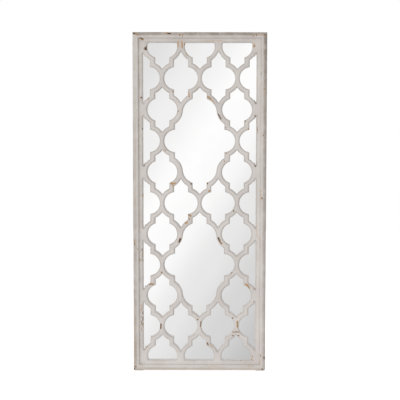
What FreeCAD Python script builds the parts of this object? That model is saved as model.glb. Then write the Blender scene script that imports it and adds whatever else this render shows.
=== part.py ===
import FreeCAD, Part
import math
import os
import Sketcher

# Leaning floor mirror with a pierced trellis panel. Millimetres, +Z up, the front faces -Y.
# The origin is on the floor, under the middle of the overall box.

SIZES = {
    # frame
    "frame_width": 706,
    "frame_height": 1797,
    "moulding_width": 32,
    "lip_depth": 7,
    "shoulder_width": 14,
    "shoulder_drop": 11,
    "bead_width": 11,
    "roll_drop": 5.5,
    "panel_overlap": 7,
    "ledge_width": 8,
    # mitre biscuits
    "biscuit_length": 28,
    "biscuit_width": 13,
    "biscuit_end": 5,
    "biscuit_thickness": 4,
    "biscuit_depth": 18,
    "biscuit_clearance": 0.2,
    # pierced panel
    "panel_thickness": 18,
    "panel_clearance": 0.4,
    "border_width": 54,
    "column_count": 3,
    "column_margin": 2.5,
    "row_margin": 20,
    "lobe_radius": 59,
    "narrow_stem": 21,
    "wide_stem": 40,
    "strip_width": 25,
    "inner_strip": 27,
    "edge_strip": 22,
    "bay_strip": 30,
    "bay_radius": 76,
    "router_radius": 4,
    "corner_trial_share": 0.125,
    "front_chamfer": 6,
    # glass, its blocks and its packing
    "glass_thickness": 5,
    "glass_clearance": 3,
    "block_length": 60,
    "block_place_share": 0.25,
    "foam_thickness": 5,
    "foam_width": 12,
    "foam_inset": 3,
    # backing board
    "board_thickness": 3,
    "board_clearance": 0.4,
    "board_screw_inset": 60,
    "stile_screw_count": 7,
    "rail_screw_count": 3,
    # wood screws
    "shank_diameter": 3,
    "head_diameter": 6.4,
    "head_height": 2.2,
    "tip_length": 3,
    "screw_fit": 0.05,
    "screw_hole_clearance": 0.3,
    "recess_length": 3.4,
    "recess_width": 0.9,
    "recess_depth": 1.1,
    "board_screw_length": 16,
    "brace_screw_length": 12,
    "hanger_screw_length": 18,
    "pilot_spare": 1,
    # corner braces
    "brace_leg": 60,
    "brace_width": 14,
    "brace_thickness": 2,
    "brace_inset": 2,
    "brace_first_hole": 24,
    "brace_hole_pitch": 26,
    # hangers
    "strap_width": 13,
    "strap_length": 34,
    "strap_end_rise": 4,
    "strap_thickness": 1.2,
    "strap_place": 10.5,
    "strap_first_hole": 9,
    "strap_hole_pitch": 18,
    "ring_wire": 2.8,
    "ring_fit": 0.08,
    "ring_lift": 3,
    "ring_inner_width": 15,
    "ring_reach": 16,
    "ring_bend": 2.2,
    # bumpers and floor pads
    "bumper_diameter": 14,
    "bumper_height": 6,
    "bumper_round": 2,
    "bumper_inset": 110,
    "pad_thickness": 3,
    "pad_length": 45,
    "pad_depth": 28,
    "pad_back_inset": 1,
    "pad_end_inset": 6,
    # how far a cutting tool runs past the face that it cuts
    "overrun": 2,
}

doc = FreeCAD.newDocument("floor_mirror")
sheet = doc.addObject("Spreadsheet::Sheet", "Sizes")
for row, (alias, number) in enumerate(SIZES.items(), start=1):
    sheet.set(f"A{row}", alias)
    sheet.set(f"B{row}", str(number))
    sheet.setAlias(f"B{row}", alias)
doc.recompute()


class Measure:
    """A size with both its number and the sheet expression that it comes from."""

    def __init__(self, number, text):
        self.number = float(number)
        self.text = text

    def join(self, sign, other, number):
        text = other.text if isinstance(other, Measure) else repr(other)
        return Measure(number, f"({self.text} {sign} {text})")

    def __float__(self):
        return self.number

    def __add__(self, other):
        return self.join("+", other, self.number + float(other))

    def __sub__(self, other):
        return self.join("-", other, self.number - float(other))

    def __mul__(self, other):
        return self.join("*", other, self.number * float(other))

    def __truediv__(self, other):
        return self.join("/", other, self.number / float(other))

    def __neg__(self):
        return self * -1


class Sizes:
    """The sheet's sizes, by name."""

    def __init__(self):
        for alias in SIZES:
            setattr(self, alias, Measure(sheet.get(alias), f"Sizes.{alias}"))


size = Sizes()
ZERO = Measure(0, "0")

# Places that follow from the sizes
rabbet_across = size.moulding_width - size.panel_overlap
board_across = rabbet_across - size.ledge_width
panel_front = size.lip_depth
glass_front = panel_front + size.panel_thickness
foam_front = glass_front + size.glass_thickness
board_front = foam_front + size.foam_thickness
frame_depth = board_front + size.board_thickness
front_y = -(frame_depth + size.bumper_height) / 2
back_y = front_y + frame_depth
half_width = size.frame_width / 2
frame_low = size.pad_thickness
frame_middle = frame_low + size.frame_height / 2
frame_high = frame_low + size.frame_height
board_screw_across = board_across + size.ledge_width / 2
brace_across = size.brace_inset + size.brace_width / 2
bumper_across = board_across / 2
pilot_diameter = size.shank_diameter + size.screw_fit * 2
hole_diameter = size.shank_diameter + size.screw_hole_clearance * 2
biscuit_across = rabbet_across / 2

# Flat pieces are drawn with x along, y inward or up, and z from the front of the frame to its back.
FACING = FreeCAD.Rotation(
    FreeCAD.Vector(-1, 0, 0), FreeCAD.Vector(0, 0, 1), FreeCAD.Vector(0, 1, 0), "XYZ"
)
nodes = []


def turned(quarter_turns):
    """The facing rotation, turned about the frame's own depth axis."""
    return FreeCAD.Rotation(FreeCAD.Vector(0, 1, 0), 90 * quarter_turns) * FACING


def bind(item, prop, measure):
    item.setExpression(prop, measure.text)


def place(item, corner, rotation=FreeCAD.Rotation()):
    item.Placement = FreeCAD.Placement(FreeCAD.Vector(), rotation)
    for axis, measure in zip("xyz", corner):
        bind(item, f"Placement.Base.{axis}", measure)


def keep(item):
    nodes.append(item)
    return item


def slab(label, corner, sides):
    """A plain rectangular piece from its low corner and its three sides."""
    box = doc.addObject("Part::Box", label)
    for prop, measure in zip(("Length", "Width", "Height"), sides):
        bind(box, prop, measure)
    place(box, corner)
    return box


# Sketch and feature helpers


def new_sketch(body, name, plane="XY_Plane", lift=ZERO):
    sketch = body.newObject("Sketcher::SketchObject", name)
    support = [part for part in body.Origin.OriginFeatures if part.Role == plane][0]
    sketch.AttachmentSupport = (support, [""])
    sketch.MapMode = "FlatFace"
    bind(sketch, "AttachmentOffset.Base.z", lift)
    return sketch


def pin(sketch, geometry, end, point):
    """Ties one point of a sketch to two measures from its origin."""
    for kind, axis, measure in zip(("DistanceX", "DistanceY"), (-2, -1), point):
        if measure is ZERO:
            sketch.addConstraint(Sketcher.Constraint("PointOnObject", geometry, end, axis))
            continue
        index = sketch.addConstraint(
            Sketcher.Constraint(kind, -1, 1, geometry, end, float(measure))
        )
        bind(sketch, f"Constraints[{index}]", measure)


def flat(point):
    return FreeCAD.Vector(float(point[0]), float(point[1]), 0)


def rounded_edge(start, end, radius, side):
    """The minor arc between two points, its centre to the left of the way (side 1) or right (-1)."""
    chord = end - start
    middle = (start + end) / 2
    normal = FreeCAD.Vector(-chord.y, chord.x, 0).normalize() * side
    rise = math.sqrt(max(radius ** 2 - (chord.Length / 2) ** 2, 0))
    return Part.Arc(start, middle - normal * (radius - rise), end)


def outline(sketch, path):
    """A closed outline. Each entry is (point, None), or (point, (radius, side)) where an arc leaves it."""
    segments = []
    for index, (point, bend) in enumerate(path):
        start = flat(point)
        end = flat(path[(index + 1) % len(path)][0])
        if bend is None:
            curve = Part.LineSegment(start, end)
        else:
            curve = rounded_edge(start, end, float(bend[0]), bend[1])
        geometry = sketch.addGeometry(curve)
        ends = (1, 2)
        if (sketch.getPoint(geometry, 1) - start).Length > (sketch.getPoint(geometry, 2) - start).Length:
            ends = (2, 1)
        segments.append((geometry, ends))
    for index, (point, bend) in enumerate(path):
        geometry, ends = segments[index]
        next_geometry, next_ends = segments[(index + 1) % len(path)]
        sketch.addConstraint(
            Sketcher.Constraint("Coincident", geometry, ends[1], next_geometry, next_ends[0])
        )
        pin(sketch, geometry, ends[0], point)
        if bend is not None:
            radius = sketch.addConstraint(Sketcher.Constraint("Radius", geometry, float(bend[0])))
            bind(sketch, f"Constraints[{radius}]", bend[0])


def polygon(sketch, points):
    outline(sketch, [(point, None) for point in points])


def circles(sketch, centres, diameter):
    for centre in centres:
        ring = Part.Circle(flat(centre), FreeCAD.Vector(0, 0, 1), float(diameter) / 2)
        geometry = sketch.addGeometry(ring)
        pin(sketch, geometry, 3, centre)
        index = sketch.addConstraint(Sketcher.Constraint("Diameter", geometry, float(diameter)))
        bind(sketch, f"Constraints[{index}]", diameter)


def pad(body, sketch, length, symmetric=False):
    feature = body.newObject("PartDesign::Pad", "Pad")
    feature.Profile = sketch
    bind(feature, "Length", length)
    feature.SideType = "Symmetric" if symmetric else "One side"
    return feature


def pocket(body, sketch, length=None, upward=False):
    """Cuts a sketch down from its plane, or up from it, to a length or right through."""
    feature = body.newObject("PartDesign::Pocket", "Pocket")
    feature.Profile = sketch
    feature.Reversed = upward
    if length is None:
        feature.Type = "ThroughAll"
    else:
        bind(feature, "Length", length)
    return feature


def revolve(body, sketch):
    feature = body.newObject("PartDesign::Revolution", "Revolution")
    feature.Profile = sketch
    feature.ReferenceAxis = (sketch, ["V_Axis"])
    feature.Angle = 360
    return feature


def new_body(label):
    return doc.addObject("PartDesign::Body", label)


def spread(count, span):
    """Evenly spaced places about the middle of a span."""
    return [span * (index / (count - 1) - 1 / 2) for index in range(count)]


def tangent_radius(run, drop):
    """Radius of an arc that starts level and falls by drop over run."""
    return (run * run + drop * drop) / (drop * 2)


# Frame: four mitred lengths of one moulding

stile_screws = spread(int(size.stile_screw_count.number), size.frame_height - size.board_screw_inset * 2)
rail_screws = spread(int(size.rail_screw_count.number), size.frame_width - size.board_screw_inset * 2)
upper = len(stile_screws) - 2
hinge_up = (stile_screws[upper] + stile_screws[upper - 1]) / 2
hanger_screw_ups = [
    hinge_up - size.strap_first_hole,
    hinge_up - size.strap_first_hole - size.strap_hole_pitch,
]
brace_holes = [size.brace_first_hole, size.brace_first_hole + size.brace_hole_pitch]


def moulding_profile(sketch):
    """Section of the moulding: across from the outer edge, depth from the front."""
    bead_end = size.shoulder_width + size.bead_width
    shoulder = tangent_radius(size.shoulder_width, size.shoulder_drop)
    roll = tangent_radius(size.moulding_width - bead_end, size.roll_drop)
    outline(sketch, [
        ((ZERO, frame_depth), None),
        ((ZERO, size.shoulder_drop), (shoulder, 1)),
        ((size.shoulder_width, ZERO), None),
        ((bead_end, ZERO), (roll, 1)),
        ((size.moulding_width, size.roll_drop), None),
        ((size.moulding_width, panel_front), None),
        ((rabbet_across, panel_front), None),
        ((rabbet_across, board_front), None),
        ((board_across, board_front), None),
        ((board_across, frame_depth), None),
    ])


def biscuit_outline(sketch, clearance):
    """A flat oval with blunt ends, grown all round by a clearance."""
    reach = size.biscuit_length / 2 + clearance
    end = size.biscuit_end / 2 + clearance
    rise = size.biscuit_width / 2 - size.biscuit_end / 2
    radius = (reach * reach + rise * rise) / (rise * 2)
    crown = end + rise
    outline(sketch, [
        ((-reach, -end), (radius, 1)),
        ((ZERO, -crown), (radius, 1)),
        ((reach, -end), None),
        ((reach, end), (radius, 1)),
        ((ZERO, crown), (radius, 1)),
        ((-reach, end), None),
    ])


def pilots(body, name, face, places, screw_reach):
    """Pilot holes bored towards the front from a face at the back of the moulding."""
    sketch = new_sketch(body, name, lift=face)
    circles(sketch, places, pilot_diameter)
    pocket(body, sketch, screw_reach + size.pilot_spare)


def rail(label, length, screws, quarter_turns, corner, hanger_ups=()):
    body = new_body(label)
    section = new_sketch(body, "Section", "YZ_Plane")
    moulding_profile(section)
    pad(body, section, length, symmetric=True)
    end = length / 2

    mitres = new_sketch(body, "Mitres")
    past = size.moulding_width + size.overrun
    for side in (1, -1):
        polygon(mitres, [
            ((end + size.overrun) * side, -size.overrun),
            ((end + size.overrun) * side, past),
            ((end - past) * side, past),
        ])
    pocket(body, mitres, upward=True)

    slot_top = size.biscuit_depth + size.biscuit_thickness / 2 + size.biscuit_clearance
    for side, angle in ((1, 135), (-1, 45)):
        slot = new_sketch(body, "BiscuitSlot")
        slot.AttachmentOffset = FreeCAD.Placement(
            FreeCAD.Vector(), FreeCAD.Rotation(FreeCAD.Vector(0, 0, 1), angle)
        )
        for axis, measure in zip("xyz", ((end - biscuit_across) * side, biscuit_across, slot_top)):
            bind(slot, f"AttachmentOffset.Base.{axis}", measure)
        biscuit_outline(slot, size.biscuit_clearance)
        pocket(body, slot, size.biscuit_thickness + size.biscuit_clearance * 2)

    board_places = [(along, board_screw_across) for along in screws]
    pilots(body, "BoardPilots", board_front, board_places,
           size.board_screw_length - size.board_thickness)
    brace_places = [((end - hole) * side, brace_across) for hole in brace_holes for side in (1, -1)]
    pilots(body, "BracePilots", frame_depth, brace_places,
           size.brace_screw_length - size.brace_thickness)
    if hanger_ups:
        pilots(body, "HangerPilots", frame_depth, [(up, size.strap_place) for up in hanger_ups],
               size.hanger_screw_length - size.strap_thickness)
    place(body, corner, turned(quarter_turns))
    return keep(body)


rail("bottom_rail", size.frame_width, rail_screws, 0, (ZERO, front_y, frame_low))
rail("left_stile", size.frame_height, stile_screws, 1, (-half_width, front_y, frame_middle),
     hanger_screw_ups)
rail("top_rail", size.frame_width, rail_screws, 2, (ZERO, front_y, frame_high))
rail("right_stile", size.frame_height, stile_screws, 3, (half_width, front_y, frame_middle),
     [-up for up in hanger_screw_ups])

# The four corners, in the order that quarter turns bring them: name, side in x, height, way up
CORNERS = [
    ("bottom_right", 1, frame_low, 1),
    ("bottom_left", -1, frame_low, 1),
    ("top_left", -1, frame_high, -1),
    ("top_right", 1, frame_high, -1),
]


def biscuit(label, quarter_turns, side, level, way):
    body = new_body(label)
    sketch = new_sketch(body, "Oval", lift=-size.biscuit_thickness / 2)
    biscuit_outline(sketch, ZERO)
    pad(body, sketch, size.biscuit_thickness)
    slant = FreeCAD.Rotation(FreeCAD.Vector(0, 0, 1), 45)
    corner = ((half_width - biscuit_across) * side, front_y + size.biscuit_depth,
              level + biscuit_across * way)
    place(body, corner, turned(quarter_turns) * slant)
    return keep(body)


for turn, (corner_name, side, level, way) in enumerate(CORNERS):
    biscuit(f"mitre_biscuit_{corner_name}", turn, side, level, way)

# Pierced panel: a border and a trellis of two kinds of opening, in rows that interlock

pitch = (size.frame_width - size.border_width * 2 - size.column_margin * 2) / size.column_count
half_pitch = float(pitch) / 2
lobe_radius = float(size.lobe_radius)
neck = (half_pitch - float(size.strip_width)) / 2
wide_lobe = half_pitch - float(size.narrow_stem) / 2 - lobe_radius
round_lobe = half_pitch - float(size.wide_stem) / 2 - lobe_radius
CORNER_TRIALS = 16


def across_circle(radius, offset):
    return math.sqrt(radius ** 2 - offset ** 2)


def least_half_row(lobe, other_lobe, strip):
    """Half the row pitch that just leaves a neck room for its rounded and chamfered corner."""
    lobe_rise = across_circle(lobe_radius, neck - lobe)
    ogee_rise = across_circle(lobe_radius + float(strip), half_pitch - other_lobe - neck)
    return lobe_rise + ogee_rise + float(size.router_radius + size.front_chamfer)


# As many rows as fit between the margins, an odd number so that the pattern is the same both ways up
rows_height = size.frame_height - size.border_width * 2 - size.row_margin * 2
tightest = max(
    least_half_row(wide_lobe, round_lobe, size.inner_strip),
    least_half_row(wide_lobe, round_lobe, size.edge_strip),
    least_half_row(round_lobe, wide_lobe, size.strip_width),
)
row_pairs = int((float(rows_height) / (tightest * 2) - 1) / 2)
row_count = row_pairs * 2 + 1
row_pitch = rows_height / row_count
half_row = float(row_pitch) / 2


def point(x, z):
    return FreeCAD.Vector(x, 0, z)


def line_edge(start, end):
    return Part.LineSegment(start, end).toShape()


def arc_edge(centre, start, end):
    """The shorter arc about a centre from one point to another."""
    first = start - centre
    second = end - centre
    middle = (first + second).normalize() * first.Length
    return Part.Arc(start, centre + middle, end).toShape()


def touching_centre(through, radius, other_centre, other_radius):
    """Centre of a circle through a point that touches another circle from outside, on its right."""
    run = other_centre - through
    along = run / run.Length
    across = point(along.z, -along.x)
    reach = (radius ** 2 - (radius + other_radius) ** 2 + run.Length ** 2) / (run.Length * 2)
    return through + along * reach + across * across_circle(radius, reach)


def tile_quarter(lobe, other_lobe, strip):
    """One quarter of an opening: side lobe, straight neck, then an ogee about the neighbour's lobe."""
    ogee_centre = point(half_pitch - other_lobe, half_row)
    ogee_radius = lobe_radius + float(strip)
    side = point(lobe + lobe_radius, 0)
    step = point(neck, across_circle(lobe_radius, neck - lobe))
    shoulder = point(neck, half_row - across_circle(ogee_radius, ogee_centre.x - neck))
    tip = point(0, half_row - across_circle(ogee_radius, ogee_centre.x))
    return side, step, shoulder, tip, ogee_centre


def tile_edges(lobe, other_lobe, strip):
    side, step, shoulder, tip, ogee_centre = tile_quarter(lobe, other_lobe, strip)
    return [
        arc_edge(point(lobe, 0), side, step),
        line_edge(step, shoulder),
        arc_edge(ogee_centre, shoulder, tip),
    ]


def large_opening_edges():
    """One quarter of an opening that takes in four tiles about a narrow stem."""
    up = point(0, half_row)
    _, step, shoulder, tip, ogee_centre = [
        place_in_tile + up for place_in_tile in tile_quarter(round_lobe, wide_lobe, size.strip_width)
    ]
    lobe_centre = point(half_pitch + wide_lobe, 0)
    far_centre = point(half_pitch * 2 - round_lobe, half_row)
    far_radius = lobe_radius + float(size.bay_strip)
    bay_neck = half_pitch * 2 - neck - float(size.bay_strip)
    bay_step = point(bay_neck, across_circle(lobe_radius, bay_neck - lobe_centre.x))
    bay_shoulder = point(bay_neck, half_row - across_circle(far_radius, far_centre.x - bay_neck))
    # The bay's own round swings over into a round about the lobe of the next tile.
    bay_radius = float(size.bay_radius)
    bay_centre = touching_centre(step, bay_radius, far_centre, far_radius)
    swing = bay_centre + (far_centre - bay_centre).normalize() * bay_radius
    return [
        arc_edge(ogee_centre, tip, shoulder),
        line_edge(shoulder, step),
        arc_edge(bay_centre, step, swing),
        arc_edge(far_centre, swing, bay_shoulder),
        line_edge(bay_shoulder, bay_step),
        arc_edge(lobe_centre, bay_step, lobe_centre + point(lobe_radius, 0)),
    ]


def mirrored_face(upper, lower, centre):
    """A face from one quarter of its outline above and one below, mirrored and moved to its centre."""
    middle = FreeCAD.Vector()
    right = upper + [edge.mirror(middle, FreeCAD.Vector(0, 0, 1)) for edge in lower]
    whole = right + [edge.mirror(middle, FreeCAD.Vector(1, 0, 0)) for edge in right]
    face = Part.Face(Part.Wire(Part.sortEdges(whole)[0]))
    face.translate(centre)
    return face


def opening_faces():
    """All openings, those at the border still whole."""
    columns = int(size.column_count.number)
    middle_column = (columns - 1) / 2
    taken = set()
    faces = []
    large = large_opening_edges()
    for row in range(1, row_count, 2):
        faces.append(mirrored_face(large, large, lattice_point(middle_column, row)))
        taken.update({(middle_column - 1 / 2, row), (middle_column + 1 / 2, row)})
        taken.update({(middle_column, row - 1 / 2), (middle_column, row + 1 / 2)})
    inner = tile_edges(wide_lobe, round_lobe, size.inner_strip)
    outer = tile_edges(wide_lobe, round_lobe, size.edge_strip)
    for row in range(row_count):
        for column in range(columns + 1):
            at_side = column in (0, columns)
            upper = outer if at_side or row == row_count - 1 else inner
            lower = outer if at_side or row == 0 else inner
            if (column - 1 / 2, row) not in taken:
                faces.append(mirrored_face(upper, lower, lattice_point(column - 1 / 2, row)))
    small = tile_edges(round_lobe, wide_lobe, size.strip_width)
    for row in range(row_count + 1):
        for column in range(columns):
            if (column, row - 1 / 2) not in taken:
                faces.append(mirrored_face(small, small, lattice_point(column, row - 1 / 2)))
    return faces


def lattice_point(column, row):
    """Centre of an opening by column and row. Openings at the sides are centred on the border's edge."""
    last_column = size.column_count.number - 1
    x = float(pitch) * (column - last_column / 2)
    if not 0 <= column <= last_column:
        x = math.copysign(float(half_width - size.border_width), x)
    z = float(row_pitch) * (row - (row_count - 1) / 2)
    return point(x, z + float(frame_middle))


def inner_corner(edge, face):
    """True where an upright edge of a cutter is a corner that a round bit would leave round."""
    corner = point(edge.Vertexes[0].X, edge.Vertexes[0].Z)
    reach = float(size.router_radius * size.corner_trial_share)
    turns = [2 * math.pi * step / CORNER_TRIALS for step in range(CORNER_TRIALS)]
    around = [corner + point(math.cos(turn), math.sin(turn)) * reach for turn in turns]
    inside = [spot for spot in around if face.isInside(spot, Part.Precision.confusion(), True)]
    return len(inside) < CORNER_TRIALS / 2 - 1


def opening_tool(face, window):
    """A cutter for one opening: clipped by the border, corners rounded as a router leaves them."""
    clipped = face.common(window).Faces[0]
    depth = float(size.panel_thickness + size.overrun * 2)
    tool = clipped.extrude(FreeCAD.Vector(0, depth, 0))
    upright = [edge for edge in tool.Edges if abs(edge.tangentAt(edge.FirstParameter).y) > 1 / 2]
    corners = [edge for edge in upright if inner_corner(edge, clipped)]
    return tool.makeFillet(float(size.router_radius), corners)


def front_edges(shape, low, high):
    """The edges round the openings on the panel's front face."""
    spare = float(size.panel_clearance)
    front = float(front_y + panel_front) + spare
    edges = []
    for edge in shape.Edges:
        box = edge.BoundBox
        in_width = low.x - spare < box.Center.x < high.x + spare
        in_height = low.z - spare < box.Center.z < high.z + spare
        if box.YMax < front and in_width and in_height:
            edges.append(edge)
    return edges


def fretwork_panel():
    border = size.border_width
    low = point(float(border - half_width), float(frame_low + border))
    high = point(float(half_width - border), float(frame_high - border))
    corners = [low, point(high.x, low.z), high, point(low.x, high.z), low]
    window = Part.Face(Part.makePolygon(corners))

    openings = doc.addObject("Part::Feature", "openings")
    openings.Shape = Part.makeCompound([opening_tool(face, window) for face in opening_faces()])
    place(openings, (ZERO, front_y + panel_front - size.overrun, ZERO))

    edge = rabbet_across + size.panel_clearance
    plate = slab(
        "panel_plate",
        (edge - half_width, front_y + panel_front, frame_low + edge),
        (size.frame_width - edge * 2, size.panel_thickness, size.frame_height - edge * 2),
    )
    pierced = doc.addObject("Part::Cut", "pierced_plate")
    pierced.Base = plate
    pierced.Tool = openings
    doc.recompute()

    blank = pierced.Shape.Solids[0]
    panel = doc.addObject("Part::Feature", "fretwork_panel")
    panel.Shape = blank.makeChamfer(float(size.front_chamfer), front_edges(blank, low, high))
    return keep(panel)


fretwork_panel()

# Mirror glass on its setting blocks, and the foam that presses it forward

glass_edge = rabbet_across + size.glass_clearance
glass_width = size.frame_width - glass_edge * 2
glass_height = size.frame_height - glass_edge * 2
keep(slab(
    "mirror_glass",
    (glass_edge - half_width, front_y + glass_front, frame_low + glass_edge),
    (glass_width, size.glass_thickness, glass_height),
))
for side_name, side in (("left", -1), ("right", 1)):
    middle = glass_width * size.block_place_share * side
    keep(slab(
        f"setting_block_{side_name}",
        (middle - size.block_length / 2, front_y + glass_front, frame_low + rabbet_across),
        (size.block_length, size.glass_thickness, size.glass_clearance),
    ))

foam_edge = glass_edge + size.foam_inset
foam_x = foam_edge - half_width
foam_y = front_y + foam_front
foam_low = frame_low + foam_edge
foam_high = frame_high - foam_edge
upright_foam = (size.foam_width, size.foam_thickness, size.frame_height - foam_edge * 2)
level_foam = (
    size.frame_width - foam_edge * 2 - size.foam_width * 2, size.foam_thickness, size.foam_width
)
keep(slab("foam_strip_left", (foam_x, foam_y, foam_low), upright_foam))
keep(slab("foam_strip_right", (-foam_x - size.foam_width, foam_y, foam_low), upright_foam))
keep(slab("foam_strip_bottom", (foam_x + size.foam_width, foam_y, foam_low), level_foam))
keep(slab(
    "foam_strip_top", (foam_x + size.foam_width, foam_y, foam_high - size.foam_width), level_foam
))

# Backing board, drawn about its own middle

board_screw_x = half_width - board_screw_across
board_screw_z = size.frame_height / 2 - board_screw_across
board_screw_places = [(board_screw_x * side, along) for side in (1, -1) for along in stile_screws]
board_screw_places += [(along, board_screw_z * side) for side in (1, -1) for along in rail_screws]


def backing_board():
    body = new_body("backing_board")
    edge = board_across + size.board_clearance
    reach = half_width - edge
    rise = size.frame_height / 2 - edge
    sheet_outline = new_sketch(body, "Outline")
    polygon(sheet_outline, [(-reach, -rise), (reach, -rise), (reach, rise), (-reach, rise)])
    pad(body, sheet_outline, size.board_thickness)
    holes = new_sketch(body, "ScrewHoles")
    circles(holes, board_screw_places, hole_diameter)
    pocket(body, holes, upward=True)
    place(body, (ZERO, front_y + board_front, frame_middle), FACING)
    return keep(body)


backing_board()

# Wood screws: one pattern for each length, repeated as a group


def screw_pattern(label, length):
    """A pan-head screw along z, with the underside of its head at the origin."""
    body = new_body(label)
    shank = size.shank_diameter / 2
    head = size.head_diameter / 2
    profile = new_sketch(body, "Profile", "XZ_Plane")
    outline(profile, [
        ((ZERO, -length), None),
        ((shank, size.tip_length - length), None),
        ((shank, ZERO), None),
        ((head, ZERO), (tangent_radius(head, size.head_height), 1)),
        ((ZERO, size.head_height), None),
    ])
    revolve(body, profile)
    recess = new_sketch(body, "Recess", lift=size.head_height)
    arm = size.recess_length / 2
    half = size.recess_width / 2
    quarter = [(arm, -half), (arm, half), (half, half)]
    cross = []
    for cosine, sine in ((1, 0), (0, 1), (-1, 0), (0, -1)):
        for x, y in quarter:
            cross.append((x * cosine - y * sine, x * sine + y * cosine))
    polygon(recess, cross)
    pocket(body, recess, size.recess_depth)
    return body


def screw_group(label, pattern, places, level):
    """Copies of one screw at places (x, z), heads on the back of what they hold."""
    doc.recompute()
    group = doc.addObject("Part::Feature", label)
    copies = []
    for x, z in places:
        copy = pattern.Shape.copy()
        spot = FreeCAD.Vector(float(x), float(level), float(z))
        copy.Placement = FreeCAD.Placement(spot, FACING)
        copies.append(copy)
    group.Shape = Part.makeCompound(copies)
    return keep(group)


screw_group(
    "backing_screws",
    screw_pattern("board_screw", size.board_screw_length),
    [(x, frame_middle + z) for x, z in board_screw_places],
    back_y,
)

# Corner braces on the back of the mitres


def corner_brace(label, quarter_turns, side, level, way):
    body = new_body(label)
    leg = size.brace_leg
    width = size.brace_width
    plate = new_sketch(body, "Plate")
    polygon(plate, [
        (ZERO, ZERO), (leg, ZERO), (leg, width), (width, width), (width, leg), (ZERO, leg)
    ])
    pad(body, plate, size.brace_thickness)
    holes = new_sketch(body, "ScrewHoles")
    along = [hole - size.brace_inset for hole in brace_holes]
    circles(holes, [(run, width / 2) for run in along], hole_diameter)
    circles(holes, [(width / 2, run) for run in along], hole_diameter)
    pocket(body, holes, upward=True)
    corner = ((half_width - size.brace_inset) * side, back_y, level + size.brace_inset * way)
    place(body, corner, turned(quarter_turns))
    return keep(body)


brace_screw_places = []
for turn, (corner_name, side, level, way) in enumerate(CORNERS):
    corner_brace(f"corner_brace_{corner_name}", turn, side, level, way)
    for hole in brace_holes:
        brace_screw_places.append(((half_width - hole) * side, level + brace_across * way))
        brace_screw_places.append(((half_width - brace_across) * side, level + hole * way))
screw_group(
    "corner_brace_screws",
    screw_pattern("brace_screw", size.brace_screw_length),
    brace_screw_places,
    back_y + size.brace_thickness,
)

# Hangers: a strap with a rolled loop, and a wire ring that swings in it

hinge_z = frame_middle + hinge_up


def hanger_strap(label, x):
    """Drawn from the ring's axis: y down the strap, z out from the back of the frame."""
    body = new_body(label)
    half = size.strap_width / 2
    foot = size.strap_length - size.strap_end_rise
    end_radius = tangent_radius(half, size.strap_end_rise)
    plate = new_sketch(body, "Plate")
    outline(plate, [
        ((half, ZERO), None),
        ((-half, ZERO), None),
        ((-half, -foot), (end_radius, 1)),
        ((half, -foot), None),
    ])
    pad(body, plate, size.strap_thickness)
    loop = new_sketch(body, "Loop", "YZ_Plane")
    bore = size.ring_wire + size.ring_fit * 2
    circles(loop, [(ZERO, size.ring_lift)], bore)
    circles(loop, [(ZERO, size.ring_lift)], bore + size.strap_thickness * 2)
    pad(body, loop, size.strap_width, symmetric=True)
    holes = new_sketch(body, "ScrewHoles")
    first = -size.strap_first_hole
    circles(holes, [(ZERO, first), (ZERO, first - size.strap_hole_pitch)], hole_diameter)
    pocket(body, holes, upward=True)
    place(body, (x, back_y, hinge_z), FACING)
    return keep(body)


def hanger_ring(label, x):
    """A wire bent to a D, drawn hanging from its straight bar."""
    body = new_body(label)
    half = size.ring_inner_width / 2 + size.ring_wire / 2
    bend = size.ring_bend
    bar = half - bend
    leg = size.ring_reach - half
    path = new_sketch(body, "Path")
    outline(path, [
        ((ZERO, ZERO), None),
        ((bar, ZERO), (bend, -1)),
        ((half, -bend), None),
        ((half, -leg), (half, -1)),
        ((ZERO, -size.ring_reach), (half, -1)),
        ((-half, -leg), None),
        ((-half, -bend), (bend, -1)),
        ((-bar, ZERO), None),
    ])
    wire = new_sketch(body, "Wire", "YZ_Plane")
    circles(wire, [(ZERO, ZERO)], size.ring_wire)
    sweep = body.newObject("PartDesign::AdditivePipe", "Sweep")
    sweep.Profile = wire
    sweep.Spine = (path, [])
    place(body, (x, back_y + size.ring_lift, hinge_z), FACING)
    return keep(body)


hanger_screw_places = []
for side_name, side in (("left", -1), ("right", 1)):
    hanger_x = (half_width - size.strap_place) * side
    hanger_strap(f"hanger_strap_{side_name}", hanger_x)
    hanger_ring(f"hanger_ring_{side_name}", hanger_x)
    hanger_screw_places += [(hanger_x, frame_middle + up) for up in hanger_screw_ups]
screw_group(
    "hanger_screws",
    screw_pattern("hanger_screw", size.hanger_screw_length),
    hanger_screw_places,
    back_y + size.strap_thickness,
)

# Wall bumpers on the back, floor pads underneath


def wall_bumper(label, x, z):
    body = new_body(label)
    radius = size.bumper_diameter / 2
    profile = new_sketch(body, "Profile", "XZ_Plane")
    outline(profile, [
        ((ZERO, ZERO), None),
        ((radius, ZERO), None),
        ((radius, size.bumper_height - size.bumper_round), (size.bumper_round, 1)),
        ((radius - size.bumper_round, size.bumper_height), None),
        ((ZERO, size.bumper_height), None),
    ])
    revolve(body, profile)
    place(body, (x, back_y, z), FACING)
    return keep(body)


for corner_name, side, level, way in CORNERS:
    wall_bumper(
        f"wall_bumper_{corner_name}",
        (half_width - bumper_across) * side,
        level + size.bumper_inset * way,
    )

pad_y = back_y - size.pad_back_inset - size.pad_depth
pad_sides = (size.pad_length, size.pad_depth, size.pad_thickness)
keep(slab("floor_pad_left", (size.pad_end_inset - half_width, pad_y, ZERO), pad_sides))
keep(slab(
    "floor_pad_right", (half_width - size.pad_end_inset - size.pad_length, pad_y, ZERO), pad_sides
))

# Check everything, then write one file for each piece

doc.recompute()
for item in doc.Objects:
    if "Invalid" in item.State or "Error" in item.State:
        raise RuntimeError(f"{item.Label} failed: {item.State}")
for item in nodes:
    if item.Shape.isNull() or not item.Shape.isValid() or not item.Shape.Solids:
        raise RuntimeError(f"{item.Label} has no sound shape")

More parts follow.
